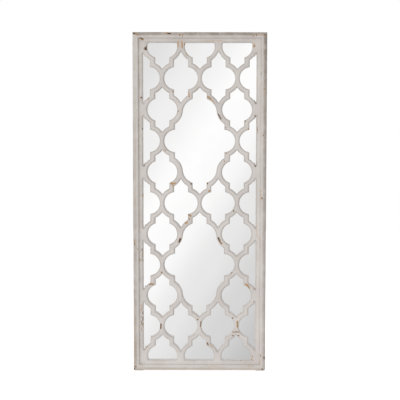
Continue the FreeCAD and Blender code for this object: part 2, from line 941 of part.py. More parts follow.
os.makedirs("parts", exist_ok=True)
for item in nodes:
    item.Shape.exportStep(f"parts/{item.Label}.step")
    print(item.Label, len(item.Shape.Solids), "solids", round(item.Shape.Volume), "mm3")
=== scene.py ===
import math
import random
from collections import namedtuple

import bmesh
import bpy
from mathutils import Matrix, Vector, kdtree, noise
from mathutils.geometry import delaunay_2d_cdt


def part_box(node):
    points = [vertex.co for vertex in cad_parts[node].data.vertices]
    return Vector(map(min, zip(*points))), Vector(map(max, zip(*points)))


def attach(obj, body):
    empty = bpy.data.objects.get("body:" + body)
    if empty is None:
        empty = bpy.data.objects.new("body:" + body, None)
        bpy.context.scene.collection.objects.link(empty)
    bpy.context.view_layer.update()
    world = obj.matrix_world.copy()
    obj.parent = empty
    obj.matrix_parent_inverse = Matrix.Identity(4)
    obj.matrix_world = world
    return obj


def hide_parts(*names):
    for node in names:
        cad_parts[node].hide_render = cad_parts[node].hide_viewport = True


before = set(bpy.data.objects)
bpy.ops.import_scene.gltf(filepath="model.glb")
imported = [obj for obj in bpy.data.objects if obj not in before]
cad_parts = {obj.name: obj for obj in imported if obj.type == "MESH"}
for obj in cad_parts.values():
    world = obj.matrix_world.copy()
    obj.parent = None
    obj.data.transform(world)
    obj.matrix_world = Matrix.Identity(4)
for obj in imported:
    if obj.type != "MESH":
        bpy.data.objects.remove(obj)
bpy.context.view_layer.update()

# Leaning floor mirror. Metres, +Z up, the front faces -Y, the origin is on the floor.

MM = 0.001
BODY = "mirror_frame"
SEED = 11
random.seed(SEED)
noise.seed_set(SEED)

# Frame, as in the part

STILE_LOW, STILE_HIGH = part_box("left_stile")
PANEL_LOW, PANEL_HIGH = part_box("fretwork_panel")
HALF_WIDTH = -STILE_LOW.x
FRAME_LOW, FRAME_HIGH = STILE_LOW.z, STILE_HIGH.z
FRAME_MIDDLE = (FRAME_LOW + FRAME_HIGH) / 2
FRONT, BACK = STILE_LOW.y, STILE_HIGH.y
MOULDING = STILE_HIGH.x - STILE_LOW.x
DEPTH = BACK - FRONT
SHOULDER_WIDTH, SHOULDER_DROP = 14 * MM, 11 * MM
BEAD_END = 25 * MM
ROLL_DROP = 5.5 * MM
LIP = 7 * MM
RABBET = 25 * MM
LEDGE = 17 * MM
BOARD_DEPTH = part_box("backing_board")[0].y - FRONT

# Trellis, as in the part

BORDER = 54 * MM
COLUMNS, ROWS = 3, 5
COLUMN_MARGIN, ROW_MARGIN = 2.5 * MM, 20 * MM
LOBE = 59 * MM
NARROW_STEM, WIDE_STEM = 21 * MM, 40 * MM
STRIP, INNER_STRIP, EDGE_STRIP = 25 * MM, 27 * MM, 22 * MM
BAY_STRIP, BAY_RADIUS = 30 * MM, 76 * MM
CORNER = 4 * MM
EDGE = 6 * MM
WINDOW_X = HALF_WIDTH - BORDER
WINDOW_LOW, WINDOW_HIGH = FRAME_LOW + BORDER, FRAME_HIGH - BORDER
PITCH = (WINDOW_X - COLUMN_MARGIN) * 2 / COLUMNS
ROW_PITCH = (WINDOW_HIGH - WINDOW_LOW - ROW_MARGIN * 2) / ROWS
HALF_PITCH, HALF_ROW = PITCH / 2, ROW_PITCH / 2
NECK = (HALF_PITCH - STRIP) / 2
WIDE_LOBE = HALF_PITCH - NARROW_STEM / 2 - LOBE
ROUND_LOBE = HALF_PITCH - WIDE_STEM / 2 - LOBE

# Camera

PICTURE = 400
CAMERA = Vector((0.0057, -4.603, 1.2429))
PITCH_DOWN, YAW, ROLL = math.radians(4.033), math.radians(-0.045), math.radians(0.085)
FOCAL_PIXELS = 867.6
SENSOR = 36.0


def camera_turn():
    """Columns: right, up and backward directions of the camera."""
    forward = Vector((math.sin(YAW) * math.cos(PITCH_DOWN), math.cos(YAW) * math.cos(PITCH_DOWN),
                      -math.sin(PITCH_DOWN)))
    level = Vector((math.cos(YAW), -math.sin(YAW), 0))
    rise = level.cross(forward)
    right = level * math.cos(ROLL) + rise * math.sin(ROLL)
    up = rise * math.cos(ROLL) - level * math.sin(ROLL)
    return Matrix((right, up, -forward)).transposed()


def make_camera():
    data = bpy.data.cameras.new("camera")
    data.sensor_width = SENSOR
    data.lens = FOCAL_PIXELS * SENSOR / PICTURE
    camera = bpy.data.objects.new("camera", data)
    camera.matrix_world = Matrix.Translation(CAMERA) @ camera_turn().to_4x4()
    bpy.context.scene.collection.objects.link(camera)
    bpy.context.scene.camera = camera


def on_front(pixel_x, pixel_y):
    """The place, across and up, on the frame's front that a pixel of the photograph shows."""
    half = PICTURE / 2
    ray = camera_turn() @ Vector((pixel_x - half, half - pixel_y, -FOCAL_PIXELS))
    reach = (FRONT - CAMERA.y) / ray.y
    return Vector((CAMERA.x + ray.x * reach, CAMERA.z + ray.z * reach))


make_camera()

# Places where the paint is gone: pixels of each end, half width in millimetres, tone from
# bare light wood (0) to dark stain (1), and how far it is gone where that isn't all the way

MARKS = [
    (133.2, 33.0, 134.6, 33.6, 2.8, 0.8),
    (134.6, 33.4, 138.6, 34.6, 2.0, 0.4),
    (140.4, 37.9, 142.8, 39.4, 2.8, 0.5),
    (164.8, 33.0, 167.6, 33.2, 2.0, 0.3),
    (167.6, 33.2, 170.4, 33.6, 2.6, 0.8),
    (180.0, 34.2, 180.1, 37.2, 1.5, 0.4),
    (182.6, 34.2, 182.5, 37.2, 1.5, 0.4),
    (177.9, 41.6, 178.1, 46.6, 1.9, 0.2),
    (182.0, 41.6, 182.2, 47.6, 2.1, 0.2),
    (184.7, 43.0, 185.0, 46.4, 1.3, 0.4),
    (185.4, 49.0, 187.0, 55.0, 1.8, 0.2, 0.5),
    (145.4, 47.8, 145.8, 49.2, 3.4, 0.9),
    (145.9, 47.4, 147.9, 43.2, 1.0, 0.6),
    (254.3, 45.8, 254.7, 46.3, 2.2, 0.5),
    (256.3, 34.8, 256.7, 35.2, 2.0, 0.5),
    (253.3, 35.9, 253.7, 36.2, 1.6, 0.5),
    (264.8, 34.6, 265.2, 35.4, 2.2, 0.6),
    (264.2, 88.0, 264.3, 94.0, 2.0, 0.35, 0.55),
    (255.7, 102.2, 255.8, 102.8, 2.6, 1.0),
    (255.7, 116.2, 255.8, 116.8, 2.6, 0.9, 0.68),
    (255.5, 165.2, 255.6, 165.8, 2.4, 1.0),
    (143.8, 164.8, 143.9, 165.3, 2.2, 1.0),
    (141.5, 97.2, 141.7, 97.8, 2.0, 0.7),
    (148.2, 98.4, 148.6, 98.7, 2.4, 0.45, 0.68),
    (172.7, 91.3, 173.1, 91.7, 2.2, 0.5, 0.68),
    (188.9, 92.0, 189.0, 96.5, 1.6, 0.3),
    (207.8, 96.8, 210.4, 98.4, 2.9, 0.3),
    (210.4, 98.4, 214.2, 102.6, 2.2, 0.2, 0.55),
    (178.0, 110.8, 178.4, 111.3, 2.2, 0.45, 0.68),
    (218.4, 114.0, 221.0, 119.0, 1.6, 0.8),
    (245.4, 120.6, 245.8, 121.4, 2.2, 0.45, 0.68),
    (248.4, 128.6, 248.6, 129.4, 2.0, 0.4, 0.68),
    (225.8, 127.6, 226.2, 128.0, 2.0, 0.4, 0.68),
    (262.8, 134.5, 263.2, 135.5, 1.8, 0.6),
    (257.3, 127.6, 257.4, 133.0, 1.8, 0.6, 0.55),
    (261.2, 134.6, 261.3, 136.4, 2.0, 0.1, 0.5),
    (257.2, 77.0, 257.3, 84.0, 2.0, 0.15, 0.36),
    (261.4, 72.0, 261.4, 75.0, 1.4, 0.7, 0.45),
    (142.4, 128.4, 142.6, 129.2, 1.8, 0.6),
    (165.1, 150.0, 165.5, 150.4, 2.2, 0.35, 0.68),
    (226.2, 153.0, 226.6, 153.6, 2.0, 0.4, 0.68),
    (224.4, 161.0, 224.8, 161.4, 2.0, 0.4, 0.68),
    (170.6, 183.2, 175.4, 183.4, 2.2, 0.2),
    (172.0, 183.8, 173.6, 186.0, 2.0, 0.2),
    (191.0, 183.8, 191.4, 184.2, 2.4, 0.9),
    (207.2, 182.9, 207.4, 183.9, 2.2, 0.5),
    (208.6, 191.4, 209.8, 190.6, 2.4, 0.3),
    (142.6, 194.4, 142.9, 196.6, 2.4, 0.35, 0.65),
    (261.8, 197.8, 262.2, 199.0, 1.8, 0.6),
    (233.3, 210.8, 233.7, 211.2, 2.0, 0.6),
    (188.6, 215.0, 190.6, 216.2, 3.0, 0.3),
    (188.9, 218.0, 189.3, 219.6, 1.5, 0.4),
    (185.4, 223.4, 187.2, 222.6, 2.7, 0.2),
    (180.4, 239.0, 179.0, 242.2, 2.8, 1.0),
    (218.3, 238.0, 219.4, 240.6, 2.4, 1.0),
    (219.4, 240.6, 221.4, 243.8, 2.3, 0.5),
    (134.4, 239.4, 134.6, 245.6, 2.4, 0.5, 0.56),
    (137.7, 248.4, 137.9, 250.0, 1.5, 0.5, 0.6),
    (139.4, 248.0, 139.5, 249.6, 1.4, 0.6, 0.6),
    (139.4, 257.4, 139.5, 260.6, 1.7, 0.7, 0.65),
    (142.0, 249.0, 142.1, 251.0, 1.6, 0.7, 0.65),
    (142.9, 252.0, 143.0, 253.4, 1.5, 0.6, 0.6),
    (142.4, 254.4, 142.5, 257.6, 1.7, 0.5, 0.6),
    (141.8, 259.4, 142.6, 261.0, 1.7, 0.6, 0.6),
    (141.4, 304.6, 141.8, 306.4, 1.7, 0.3, 0.58),
    (142.2, 307.4, 141.0, 311.0, 1.7, 0.4, 0.58),
    (142.8, 312.0, 142.9, 314.6, 1.8, 0.6, 0.62),
    (141.4, 316.4, 142.4, 318.0, 1.7, 0.5, 0.6),
    (143.0, 317.6, 142.6, 321.0, 1.8, 0.6, 0.64),
    (141.6, 322.0, 142.0, 325.4, 1.8, 0.6, 0.62),
    (143.2, 323.6, 143.1, 327.4, 1.7, 0.4, 0.6),
    (141.5, 328.2, 141.9, 331.4, 1.7, 0.4, 0.58),
    (134.1, 303.0, 134.5, 366.0, 2.0, 0.2, 0.34),
    (161.5, 272.5, 161.9, 272.9, 2.2, 0.5),
    (231.3, 272.8, 231.7, 273.2, 2.2, 0.5),
    (151.0, 284.0, 153.0, 284.4, 2.8, 0.3),
    (149.4, 285.0, 150.6, 284.4, 1.6, 0.5),
    (245.8, 284.6, 248.0, 286.0, 3.2, 0.2),
    (248.0, 286.0, 249.4, 288.6, 2.0, 0.4),
    (254.4, 288.6, 255.4, 289.6, 2.0, 0.5, 0.5),
    (253.8, 301.2, 254.6, 302.4, 2.0, 0.5, 0.4),
    (160.9, 324.6, 160.5, 328.6, 2.6, 0.6),
    (197.2, 319.8, 197.6, 320.2, 2.0, 0.5),
    (201.0, 322.2, 200.6, 326.8, 2.0, 0.5),
    (232.5, 318.3, 232.9, 318.7, 2.0, 0.6),
    (237.4, 321.4, 237.7, 327.4, 2.2, 0.3),
    (232.6, 332.4, 239.4, 332.4, 1.0, 0.6),
    (232.8, 335.8, 233.2, 336.2, 2.0, 0.5),
    (238.3, 335.8, 238.7, 336.2, 2.0, 0.6),
    (207.2, 343.4, 208.2, 345.2, 2.2, 0.6),
    (210.4, 345.6, 213.2, 348.0, 2.0, 0.2, 0.5),
    (145.2, 350.2, 147.4, 346.8, 1.6, 0.2, 0.45),
    (252.2, 356.0, 252.4, 357.8, 1.7, 0.35, 0.62),
    (251.4, 359.4, 252.2, 360.8, 1.9, 0.3, 0.66),
    (260.5, 354.6, 260.7, 356.4, 1.9, 0.45, 0.64),
    (259.4, 360.0, 260.2, 364.6, 2.4, 0.2, 0.42),
    (248.4, 366.2, 253.6, 366.0, 2.2, 0.2, 0.5),
    (207.4, 366.2, 218.6, 366.5, 2.0, 0.1, 0.36),
    (260.6, 190.0, 260.8, 200.0, 2.4, 0.1, 0.4),
    (259.8, 236.0, 260.2, 250.0, 2.2, 0.4, 0.36),
    (256.4, 226.0, 257.0, 236.0, 2.0, 0.2, 0.36),
    (134.2, 190.0, 134.5, 206.0, 2.0, 0.3, 0.36),
    (205.0, 40.4, 222.0, 40.2, 2.2, 0.1, 0.36),
    (253.6, 34.4, 263.0, 34.6, 2.2, 0.4, 0.45),
    (254.2, 43.4, 253.8, 47.0, 2.0, 0.2, 0.7),
    (138.0, 368.4, 262.0, 369.0, 2.2, 0.15, 0.36),
    (264.1, 357.2, 264.3, 358.8, 2.2, 0.9),
    (135.2, 366.2, 136.0, 366.8, 2.8, 0.5, 0.8),
    (140.0, 365.4, 143.0, 365.8, 1.8, 0.2, 0.5),
    (134.2, 368.6, 134.6, 369.4, 2.4, 0.7),
    (262.2, 369.1, 262.8, 369.5, 2.4, 0.7),
]
MARK_CELL = 25 * MM
MARK_SPREAD = 2.4
MARK_RINGS = 1.6 * MM
PLAIN_TONE = 0.5
NEARLY_ZERO = 1e-12


def clamped(value):
    """A value kept between 0 and 1."""
    return min(max(value, 0), 1)


class Mark:
    """One worn place, as a line with a width."""

    def __init__(self, x0, y0, x1, y1, half_width, tone, depth=1.0):
        self.start = on_front(x0, y0)
        self.end = on_front(x1, y1)
        self.half_width = half_width * MM
        self.tone = tone
        self.depth = depth

    def reach(self):
        return self.half_width * MARK_SPREAD

    def strength(self, spot):
        run = self.end - self.start
        share = (spot - self.start).dot(run) / max(run.length_squared, NEARLY_ZERO)
        nearest = self.start + run * clamped(share)
        return max(0.0, 1 - (spot - nearest).length / self.reach()) * self.depth


def by_cell(marks):
    """The marks that may reach into each square cell of the front."""
    cells = {}
    for mark in marks:
        spare = Vector((mark.reach(), mark.reach()))
        corners = [mark.start - spare, mark.end - spare, mark.start + spare, mark.end + spare]
        columns = [math.floor(corner.x / MARK_CELL) for corner in corners]
        rows = [math.floor(corner.y / MARK_CELL) for corner in corners]
        for column in range(min(columns), max(columns) + 1):
            for row in range(min(rows), max(rows) + 1):
                cells.setdefault((column, row), []).append(mark)
    return cells


marks = [Mark(*entry) for entry in MARKS]
marks_by_cell = by_cell(marks)


def wear_at(x, z):
    """How worn a place is, and its tone."""
    cell = (math.floor(x / MARK_CELL), math.floor(z / MARK_CELL))
    best, tone = 0.0, PLAIN_TONE
    for mark in marks_by_cell.get(cell, ()):
        strength = mark.strength(Vector((x, z)))
        if strength > best:
            best, tone = strength, mark.tone
    return best, tone


# Meshes

ATTRIBUTES = ("wear", "tone", "rub", "grime", "fresh", "bare")
WAVES = ((9, 1), (41, 0.4))
WAVE_HEIGHT = 0.22 * MM
CHIP = 0.7 * MM


def mesh_piece(name, vertices, faces, values, grain, material, sharp):
    """A painted piece, worn and dirty, with painted light and shade, as its values say."""
    mesh = bpy.data.meshes.new(name)
    mesh.from_pydata(vertices, [], faces)
    for key in ATTRIBUTES:
        layer = mesh.attributes.new(key, "FLOAT", "POINT")
        layer.data.foreach_set("value", [entry[key] for entry in values])
    layer = mesh.attributes.new("grain", "FLOAT_VECTOR", "POINT")
    layer.data.foreach_set("vector", [number for entry in grain for number in entry])
    work = bmesh.new()
    work.from_mesh(mesh)
    loose = [vertex for vertex in work.verts if not vertex.link_faces]
    bmesh.ops.delete(work, geom=loose, context="VERTS")
    bmesh.ops.recalc_face_normals(work, faces=work.faces)
    work.to_mesh(mesh)
    work.free()
    mesh.shade_smooth()
    mesh.set_sharp_from_angle(angle=math.radians(sharp))
    mesh.materials.append(material)
    piece = bpy.data.objects.new(name, mesh)
    bpy.context.scene.collection.objects.link(piece)
    return piece


def uneven(spot):
    """Slight unevenness of hand-finished wood."""
    return sum(noise.noise(spot * scale) * share for scale, share in WAVES) * WAVE_HEIGHT


# Rails

RING_STEP = 9 * MM
END_STEP, AT_END = 1 * MM, MARK_RINGS / 8
RAIL_SHARP = 50
MARK_MARGIN = 2 * MM
FRONT_DEPTH = SHOULDER_DROP * 1.4
MITRE_SINK, MITRE_REACH, MITRE_GRIME = 0.2 * MM, 1.5 * MM, 0.12
DUST_AND_SHADE_END, DUST_AND_SHADE_FADE = 22 * MM, 8 * MM
TOP_POWER = 4

# Dirt and painted shade all over a rail's front, on its shoulder and in its roll (painted shade only): at its
# left or low end, then at its far end
DirtAndShade = namedtuple("DirtAndShade", "soil far_soil dust far_dust groove far_groove")

# Each rail's axis (0 across, 1 up), where its outer edge is, which way is inward, and its dirt and painted
# shade
RAILS = [
    # Painted shade with some dust: the top rail darker all over and on its shoulder, the right stile's outer
    # shoulder darker towards the top, the left stile a little darker all over and its roll darker towards the
    # top as painted shade only; the bottom rail's and left stile's shoulders darker at their left or low
    # ends.
    ("bottom_rail", 0, FRAME_LOW, 1, DirtAndShade(0, 0, 0.4, 0.05, 0, 0)),
    ("top_rail", 0, FRAME_HIGH, -1, DirtAndShade(0.25, 0.35, 0.7, 0.75, 0, 0)),
    ("left_stile", 1, -HALF_WIDTH, 1, DirtAndShade(0.15, 0.15, 0.65, 0.05, 0, 0.6)),
    ("right_stile", 1, HALF_WIDTH, -1, DirtAndShade(0, 0.3, 0.3, 0.9, 0, 0)),
]

# Steps, rubbing, grime and painted shade of the section's faces: painted shade deepens down the roll and
# fills the lip, the rabbet and the ledge for the board
EASE = 0.9 * MM
SIDE_STEPS, SHOULDER_STEPS, BEAD_STEPS, ROLL_STEPS, BACK_STEPS = 5, 9, 6, 7, 4
SIDE_RUB, SIDE_FRONT_RUB, SIDE_FRONT_REACH = 0.25, 0.6, 6 * MM
ARRIS_RUB, SHOULDER_RUB, SHOULDER_RUB_FALL = 0.9, 0.55, 0.05
BEAD_RUB, BEAD_END_RUB, ROLL_RUB = 0.12, 0.2, 0.35
SIDE_GRIME, SHOULDER_GRIME, ROLL_SHADE_RISE = 0.25, 0.1, 0.03
LIP_SHADE, RABBET_SHADE, BOARD_SHADE, BACK_GRIME = 0.2, 0.4, 0.5, 0.2
PAINTED, BARE = 0, 1


def arc_run(centre, start, end, count):
    """Points on a circle from one point towards another, both ends in."""
    first = math.atan2(start[1] - centre[1], start[0] - centre[0])
    last = math.atan2(end[1] - centre[1], end[0] - centre[0])
    turn = (last - first + math.pi) % (2 * math.pi) - math.pi
    radius = math.hypot(start[0] - centre[0], start[1] - centre[1])
    angles = [first + turn * index / count for index in range(count + 1)]
    return [(centre[0] + radius * math.cos(a), centre[1] + radius * math.sin(a)) for a in angles]


def straight_run(start, end, count):
    """Points on a line from one point to another, both ends in."""
    return [(start[0] + (end[0] - start[0]) * index / count, start[1] + (end[1] - start[1]) * index / count)
            for index in range(count + 1)]


def radius_of(width, drop):
    """Radius of an arc that starts level and falls by a drop over a width."""
    return (width ** 2 + drop ** 2) / (2 * drop)


def section():
    """The moulding's section all the way round: (across, depth, rub, grime with painted shade, bare)."""
    points = []
    for across, depth in straight_run((0, DEPTH - EASE), (0, SHOULDER_DROP + EASE), SIDE_STEPS):
        near_front = 1 - min((depth - SHOULDER_DROP) / SIDE_FRONT_REACH, 1)
        points.append((across, depth, SIDE_RUB + near_front * SIDE_FRONT_RUB, SIDE_GRIME, PAINTED))
    shoulder_centre = (SHOULDER_WIDTH, radius_of(SHOULDER_WIDTH, SHOULDER_DROP))
    shoulder = arc_run(shoulder_centre, (0, SHOULDER_DROP), (SHOULDER_WIDTH, 0), SHOULDER_STEPS)
    for index, (across, depth) in enumerate(shoulder):
        rub = SHOULDER_RUB * (1 - SHOULDER_RUB_FALL * index) if index else ARRIS_RUB
        points.append((across, depth, rub, SHOULDER_GRIME, PAINTED))
    bead = straight_run((SHOULDER_WIDTH, 0), (BEAD_END, 0), BEAD_STEPS)[1:-1]
    for point in bead:
        points.append((*point, BEAD_END_RUB if point is bead[-1] else BEAD_RUB, 0, PAINTED))
    roll_centre = (BEAD_END, radius_of(MOULDING - BEAD_END, ROLL_DROP))
    roll = arc_run(roll_centre, (BEAD_END, 0), (MOULDING, ROLL_DROP), ROLL_STEPS)
    for index, (across, depth) in enumerate(roll):
        points.append((across, depth, ROLL_RUB, ROLL_SHADE_RISE * index, PAINTED))
    points.append((MOULDING, LIP, 0, LIP_SHADE, PAINTED))
    points.append((RABBET, LIP, 0, RABBET_SHADE, PAINTED))
    points.append((RABBET, BOARD_DEPTH, 0, BOARD_SHADE, BARE))
    points.append((LEDGE, BOARD_DEPTH, 0, BOARD_SHADE, BARE))
    for across, depth in straight_run((LEDGE, DEPTH), (EASE, DEPTH), BACK_STEPS):
        points.append((across, depth, 0, BACK_GRIME, BARE))
    return points


def section_normals(points):
    """Outward directions at the section's points."""
    normals = []
    for index, point in enumerate(points):
        before = Vector(points[index - 1][:2])
        after = Vector(points[(index + 1) % len(points)][:2])
        along = (after - before).normalized()
        normals.append(Vector((-along.y, along.x)))
    middle = Vector((MOULDING / 2, SHOULDER_DROP))
    outward = normals[0].dot(Vector(points[0][:2]) - middle) > 0
    return normals if outward else [-normal for normal in normals]


def ring_places(length, spots):
    """Places of the rings along a rail: even, closer at the ends and at the marks."""
    half = length / 2
    count = round(length / RING_STEP)
    places = {half * (2 * index / count - 1) for index in range(count + 1)}
    places |= {half - END_STEP, END_STEP - half}
    for first, last in spots:
        steps = max(1, round((last - first) / MARK_RINGS))
        places |= {first + (last - first) * index / steps for index in range(steps + 1)}
    kept = []
    for spot in sorted(places):
        if -half <= spot <= half and (not kept or spot - kept[-1] > MARK_RINGS / 2 or spot == half):
            kept.append(spot)
    return kept


def front_dirt_and_shade(dirt_and_shade, share, across):
    """Dirt and painted shade on a rail's front, at a share of its length and a distance from its outer edge.
    """
    soil = dirt_and_shade.soil + (dirt_and_shade.far_soil - dirt_and_shade.soil) * share ** TOP_POWER
    # The shoulder's dust value is dust and painted shade.
    dust = dirt_and_shade.dust + (dirt_and_shade.far_dust - dirt_and_shade.dust) * share
    groove = dirt_and_shade.groove + (dirt_and_shade.far_groove - dirt_and_shade.groove) * share
    on_shoulder = clamped((DUST_AND_SHADE_END - across) / DUST_AND_SHADE_FADE)
    on_roll = clamped((across - BEAD_END) / (MOULDING - BEAD_END))
    return soil + dust * on_shoulder + groove * on_roll


def rail(node, axis, edge, inward, dirt_and_shade, material):
    """One mitred rail: its section carried along its length."""
    length = FRAME_HIGH - FRAME_LOW if axis else HALF_WIDTH * 2
    middle = FRAME_MIDDLE if axis else 0
    half = length / 2

    def place(along, across, depth):
        level = edge + inward * across
        return Vector((level, FRONT + depth, middle + along) if axis else (along, FRONT + depth, level))

    def across_of(spot):
        return inward * (spot[1 - axis] - edge)

    spots = []
    for mark in marks:
        if -MARK_MARGIN < across_of(mark.start) < MOULDING:
            first, last = sorted((mark.start[axis] - middle, mark.end[axis] - middle))
            spots.append((first - mark.reach(), last + mark.reach()))
    rings = ring_places(length, spots)
    points = section()
    normals = section_normals(points)
    grain_start = length + across_of(Vector((0, 0)))
    vertices, values, grain = [], [], []
    for ring in rings:
        from_end = half - abs(ring)
        sink = MITRE_SINK if from_end < AT_END else 0
        mitre_grime = (1 - min(from_end / MITRE_REACH, 1)) * MITRE_GRIME
        for (across, depth, rub, grime, bare), normal in zip(points, normals):
            along = ring * (half - across) / half
            spot = place(along, across, depth)
            outward = place(along, across + normal.x, depth + normal.y) - spot
            wear, tone = 0.0, PLAIN_TONE
            grime = max(grime, mitre_grime)
            if depth < FRONT_DEPTH:
                wear, tone = wear_at(spot.x, spot.z)
                grime += front_dirt_and_shade(dirt_and_shade, (ring + half) / length, across)
            vertices.append(spot + outward * (uneven(spot) - CHIP * wear - sink))
            values.append({"wear": wear, "tone": tone, "rub": rub, "grime": grime, "fresh": 0, "bare": bare})
            grain.append((along, across + depth, grain_start))
    count = len(points)
    last = (len(rings) - 1) * count
    faces = []
    for first in range(0, last, count):
        for index in range(count):
            after = (index + 1) % count
            faces.append((first + index, first + after, first + count + after, first + count + index))
    faces.append(tuple(range(count)))
    faces.append(tuple(reversed(range(last, last + count))))
    piece = mesh_piece(f"{node}_worn", vertices, faces, values, grain, material, RAIL_SHARP)
    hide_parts(node)
    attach(piece, BODY)


# Trellis outlines

STEP = 3.4 * MM
LEAST_STEP = STEP / 50
SHARP_TURN = math.radians(25)
CORNER_SHARES = (0, 0.25, 0.5, 0.75, 1)
CORNER_SPARE = 1.1


def across_circle(radius, offset):
    """Half the width of a circle at an offset from its centre."""
    return math.sqrt(radius ** 2 - offset ** 2)


def arc(centre, start, end):
    """Points along the shorter arc about a centre, without its last end."""
    count = max(2, round((start - centre).angle(end - centre) * (start - centre).length / STEP))
    return [Vector(point) for point in arc_run(centre, start, end, count)[:-1]]


def straight(start, end):
    """Points along a line, without its last end."""
    count = max(1, round((end - start).length / STEP))
    return [start.lerp(end, index / count) for index in range(count)]


def tile_corners(lobe, other_lobe, strip):
    """Side, step, shoulder and tip of a quarter opening, and the centre of its ogee."""
    centre = Vector((HALF_PITCH - other_lobe, HALF_ROW))
    ogee = LOBE + strip
    side = Vector((lobe + LOBE, 0))
    step = Vector((NECK, across_circle(LOBE, NECK - lobe)))
    shoulder = Vector((NECK, HALF_ROW - across_circle(ogee, centre.x - NECK)))
    tip = Vector((0, HALF_ROW - across_circle(ogee, centre.x)))
    return side, step, shoulder, tip, centre


def tile(lobe, other_lobe, strip):
    """One quarter of an opening, from its side to its tip."""
    side, step, shoulder, tip, centre = tile_corners(lobe, other_lobe, strip)
    return arc(Vector((lobe, 0)), side, step) + straight(step, shoulder) + arc(centre, shoulder, tip) + [tip]


def touching_centre(through, radius, other_centre, other_radius):
    """Centre of a circle through a point that touches another circle from outside, on its right."""
    run = other_centre - through
    along = run.normalized()
    across = Vector((along.y, -along.x))
    reach = (radius ** 2 - (radius + other_radius) ** 2 + run.length ** 2) / (run.length * 2)
    return through + along * reach + across * across_circle(radius, reach)


def large_opening():
    """One quarter of an opening that takes in four tiles."""
    up = Vector((0, HALF_ROW))
    corners = tile_corners(ROUND_LOBE, WIDE_LOBE, STRIP)
    _, step, shoulder, tip, centre = [corner + up for corner in corners]
    lobe_centre = Vector((HALF_PITCH + WIDE_LOBE, 0))
    far_centre = Vector((HALF_PITCH * 2 - ROUND_LOBE, HALF_ROW))
    far_radius = LOBE + BAY_STRIP
    neck = HALF_PITCH * 2 - NECK - BAY_STRIP
    side = lobe_centre + Vector((LOBE, 0))
    bay_step = Vector((neck, across_circle(LOBE, neck - lobe_centre.x)))
    bay_shoulder = Vector((neck, HALF_ROW - across_circle(far_radius, far_centre.x - neck)))
    bay_centre = touching_centre(step, BAY_RADIUS, far_centre, far_radius)
    swing = bay_centre + (far_centre - bay_centre).normalized() * BAY_RADIUS
    return (arc(lobe_centre, side, bay_step) + straight(bay_step, bay_shoulder)
            + arc(far_centre, bay_shoulder, swing) + arc(bay_centre, swing, step)
            + straight(step, shoulder) + arc(centre, shoulder, tip) + [tip])


def whole(upper, lower, centre):
    """A closed outline from one quarter above and one below, about its centre."""
    over = upper + [Vector((-point.x, point.y)) for point in reversed(upper[:-1])]
    under = lower + [Vector((-point.x, point.y)) for point in reversed(lower[:-1])]
    loop = over + [Vector((point.x, -point.y)) for point in reversed(under[1:-1])]
    return [point + centre for point in loop]


def clipped(loop, axis, limit, sign):
    """The part of an outline on one side of a limit."""
    kept = []
    for index, point in enumerate(loop):
        before = loop[index - 1]
        inside, was_inside = sign * (limit - point[axis]) >= 0, sign * (limit - before[axis]) >= 0
        if inside != was_inside:
            kept.append(before.lerp(point, (limit - before[axis]) / (point[axis] - before[axis])))
        if inside:
            kept.append(point)
    return kept


def subdivided(loop):
    """An outline with points close together."""
    return [point for index, start in enumerate(loop)
            for point in straight(start, loop[(index + 1) % len(loop)])]


def turn_at(loop, index):
    """How far an outline turns at a point, leftward positive."""
    before = loop[index] - loop[index - 1]
    after = loop[(index + 1) % len(loop)] - loop[index]
    return math.atan2(before.x * after.y - before.y * after.x, before.dot(after))


def softened(loop):
    """An outline with its inner corners rounded as a router leaves them."""
    rounds = {}
    for index in range(len(loop)):
        turn = turn_at(loop, index)
        if turn > SHARP_TURN:
            rounds[index] = CORNER * math.tan(turn / 2)
    kept = []
    for index, point in enumerate(loop):
        if index in rounds:
            reach = rounds[index]
            first = point - (point - loop[index - 1]).normalized() * reach
            last = point + (loop[(index + 1) % len(loop)] - point).normalized() * reach
            for share in CORNER_SHARES:
                kept.append(first.lerp(point, share).lerp(point.lerp(last, share), share))
        elif all((point - loop[corner]).length > reach * CORNER_SPARE for corner, reach in rounds.items()):
            kept.append(point)
    return kept


def tidied(loop):
    """An outline without points that fall on each other."""
    return [point for index, point in enumerate(loop) if (point - loop[index - 1]).length > LEAST_STEP]


def lattice_point(column, row):
    """Centre of an opening by column and row. Openings at the sides are centred on the border's edge."""
    x = PITCH * (column - (COLUMNS - 1) / 2)
    if not 0 <= column <= COLUMNS - 1:
        x = math.copysign(WINDOW_X, x)
    return Vector((x, ROW_PITCH * (row - (ROWS - 1) / 2) + FRAME_MIDDLE))


def openings():
    """Every opening of the panel."""
    middle = (COLUMNS - 1) / 2
    taken = set()
    loops = []
    large = large_opening()
    for row in range(1, ROWS, 2):
        loops.append(whole(large, large, lattice_point(middle, row)))
        taken |= {(middle - 0.5, row), (middle + 0.5, row), (middle, row - 0.5), (middle, row + 0.5)}
    inner, outer = tile(WIDE_LOBE, ROUND_LOBE, INNER_STRIP), tile(WIDE_LOBE, ROUND_LOBE, EDGE_STRIP)
    for row in range(ROWS):
        for column in range(COLUMNS + 1):
            at_side = column in (0, COLUMNS)
            upper = outer if at_side or row == ROWS - 1 else inner
            lower = outer if at_side or row == 0 else inner
            if (column - 0.5, row) not in taken:
                loops.append(whole(upper, lower, lattice_point(column - 0.5, row)))
    small = tile(ROUND_LOBE, WIDE_LOBE, STRIP)
    for row in range(ROWS + 1):
        for column in range(COLUMNS):
            if (column, row - 0.5) not in taken:
                loops.append(whole(small, small, lattice_point(column, row - 0.5)))
    limits = ((0, WINDOW_X, 1), (0, -WINDOW_X, -1), (1, WINDOW_HIGH, 1), (1, WINDOW_LOW, -1))
    finished = []
    for loop in loops:
        for axis, limit, sign in limits:
            loop = clipped(loop, axis, limit, sign)
        finished.append(tidied(softened(subdivided(tidied(loop)))))
    return finished


# Trellis panel

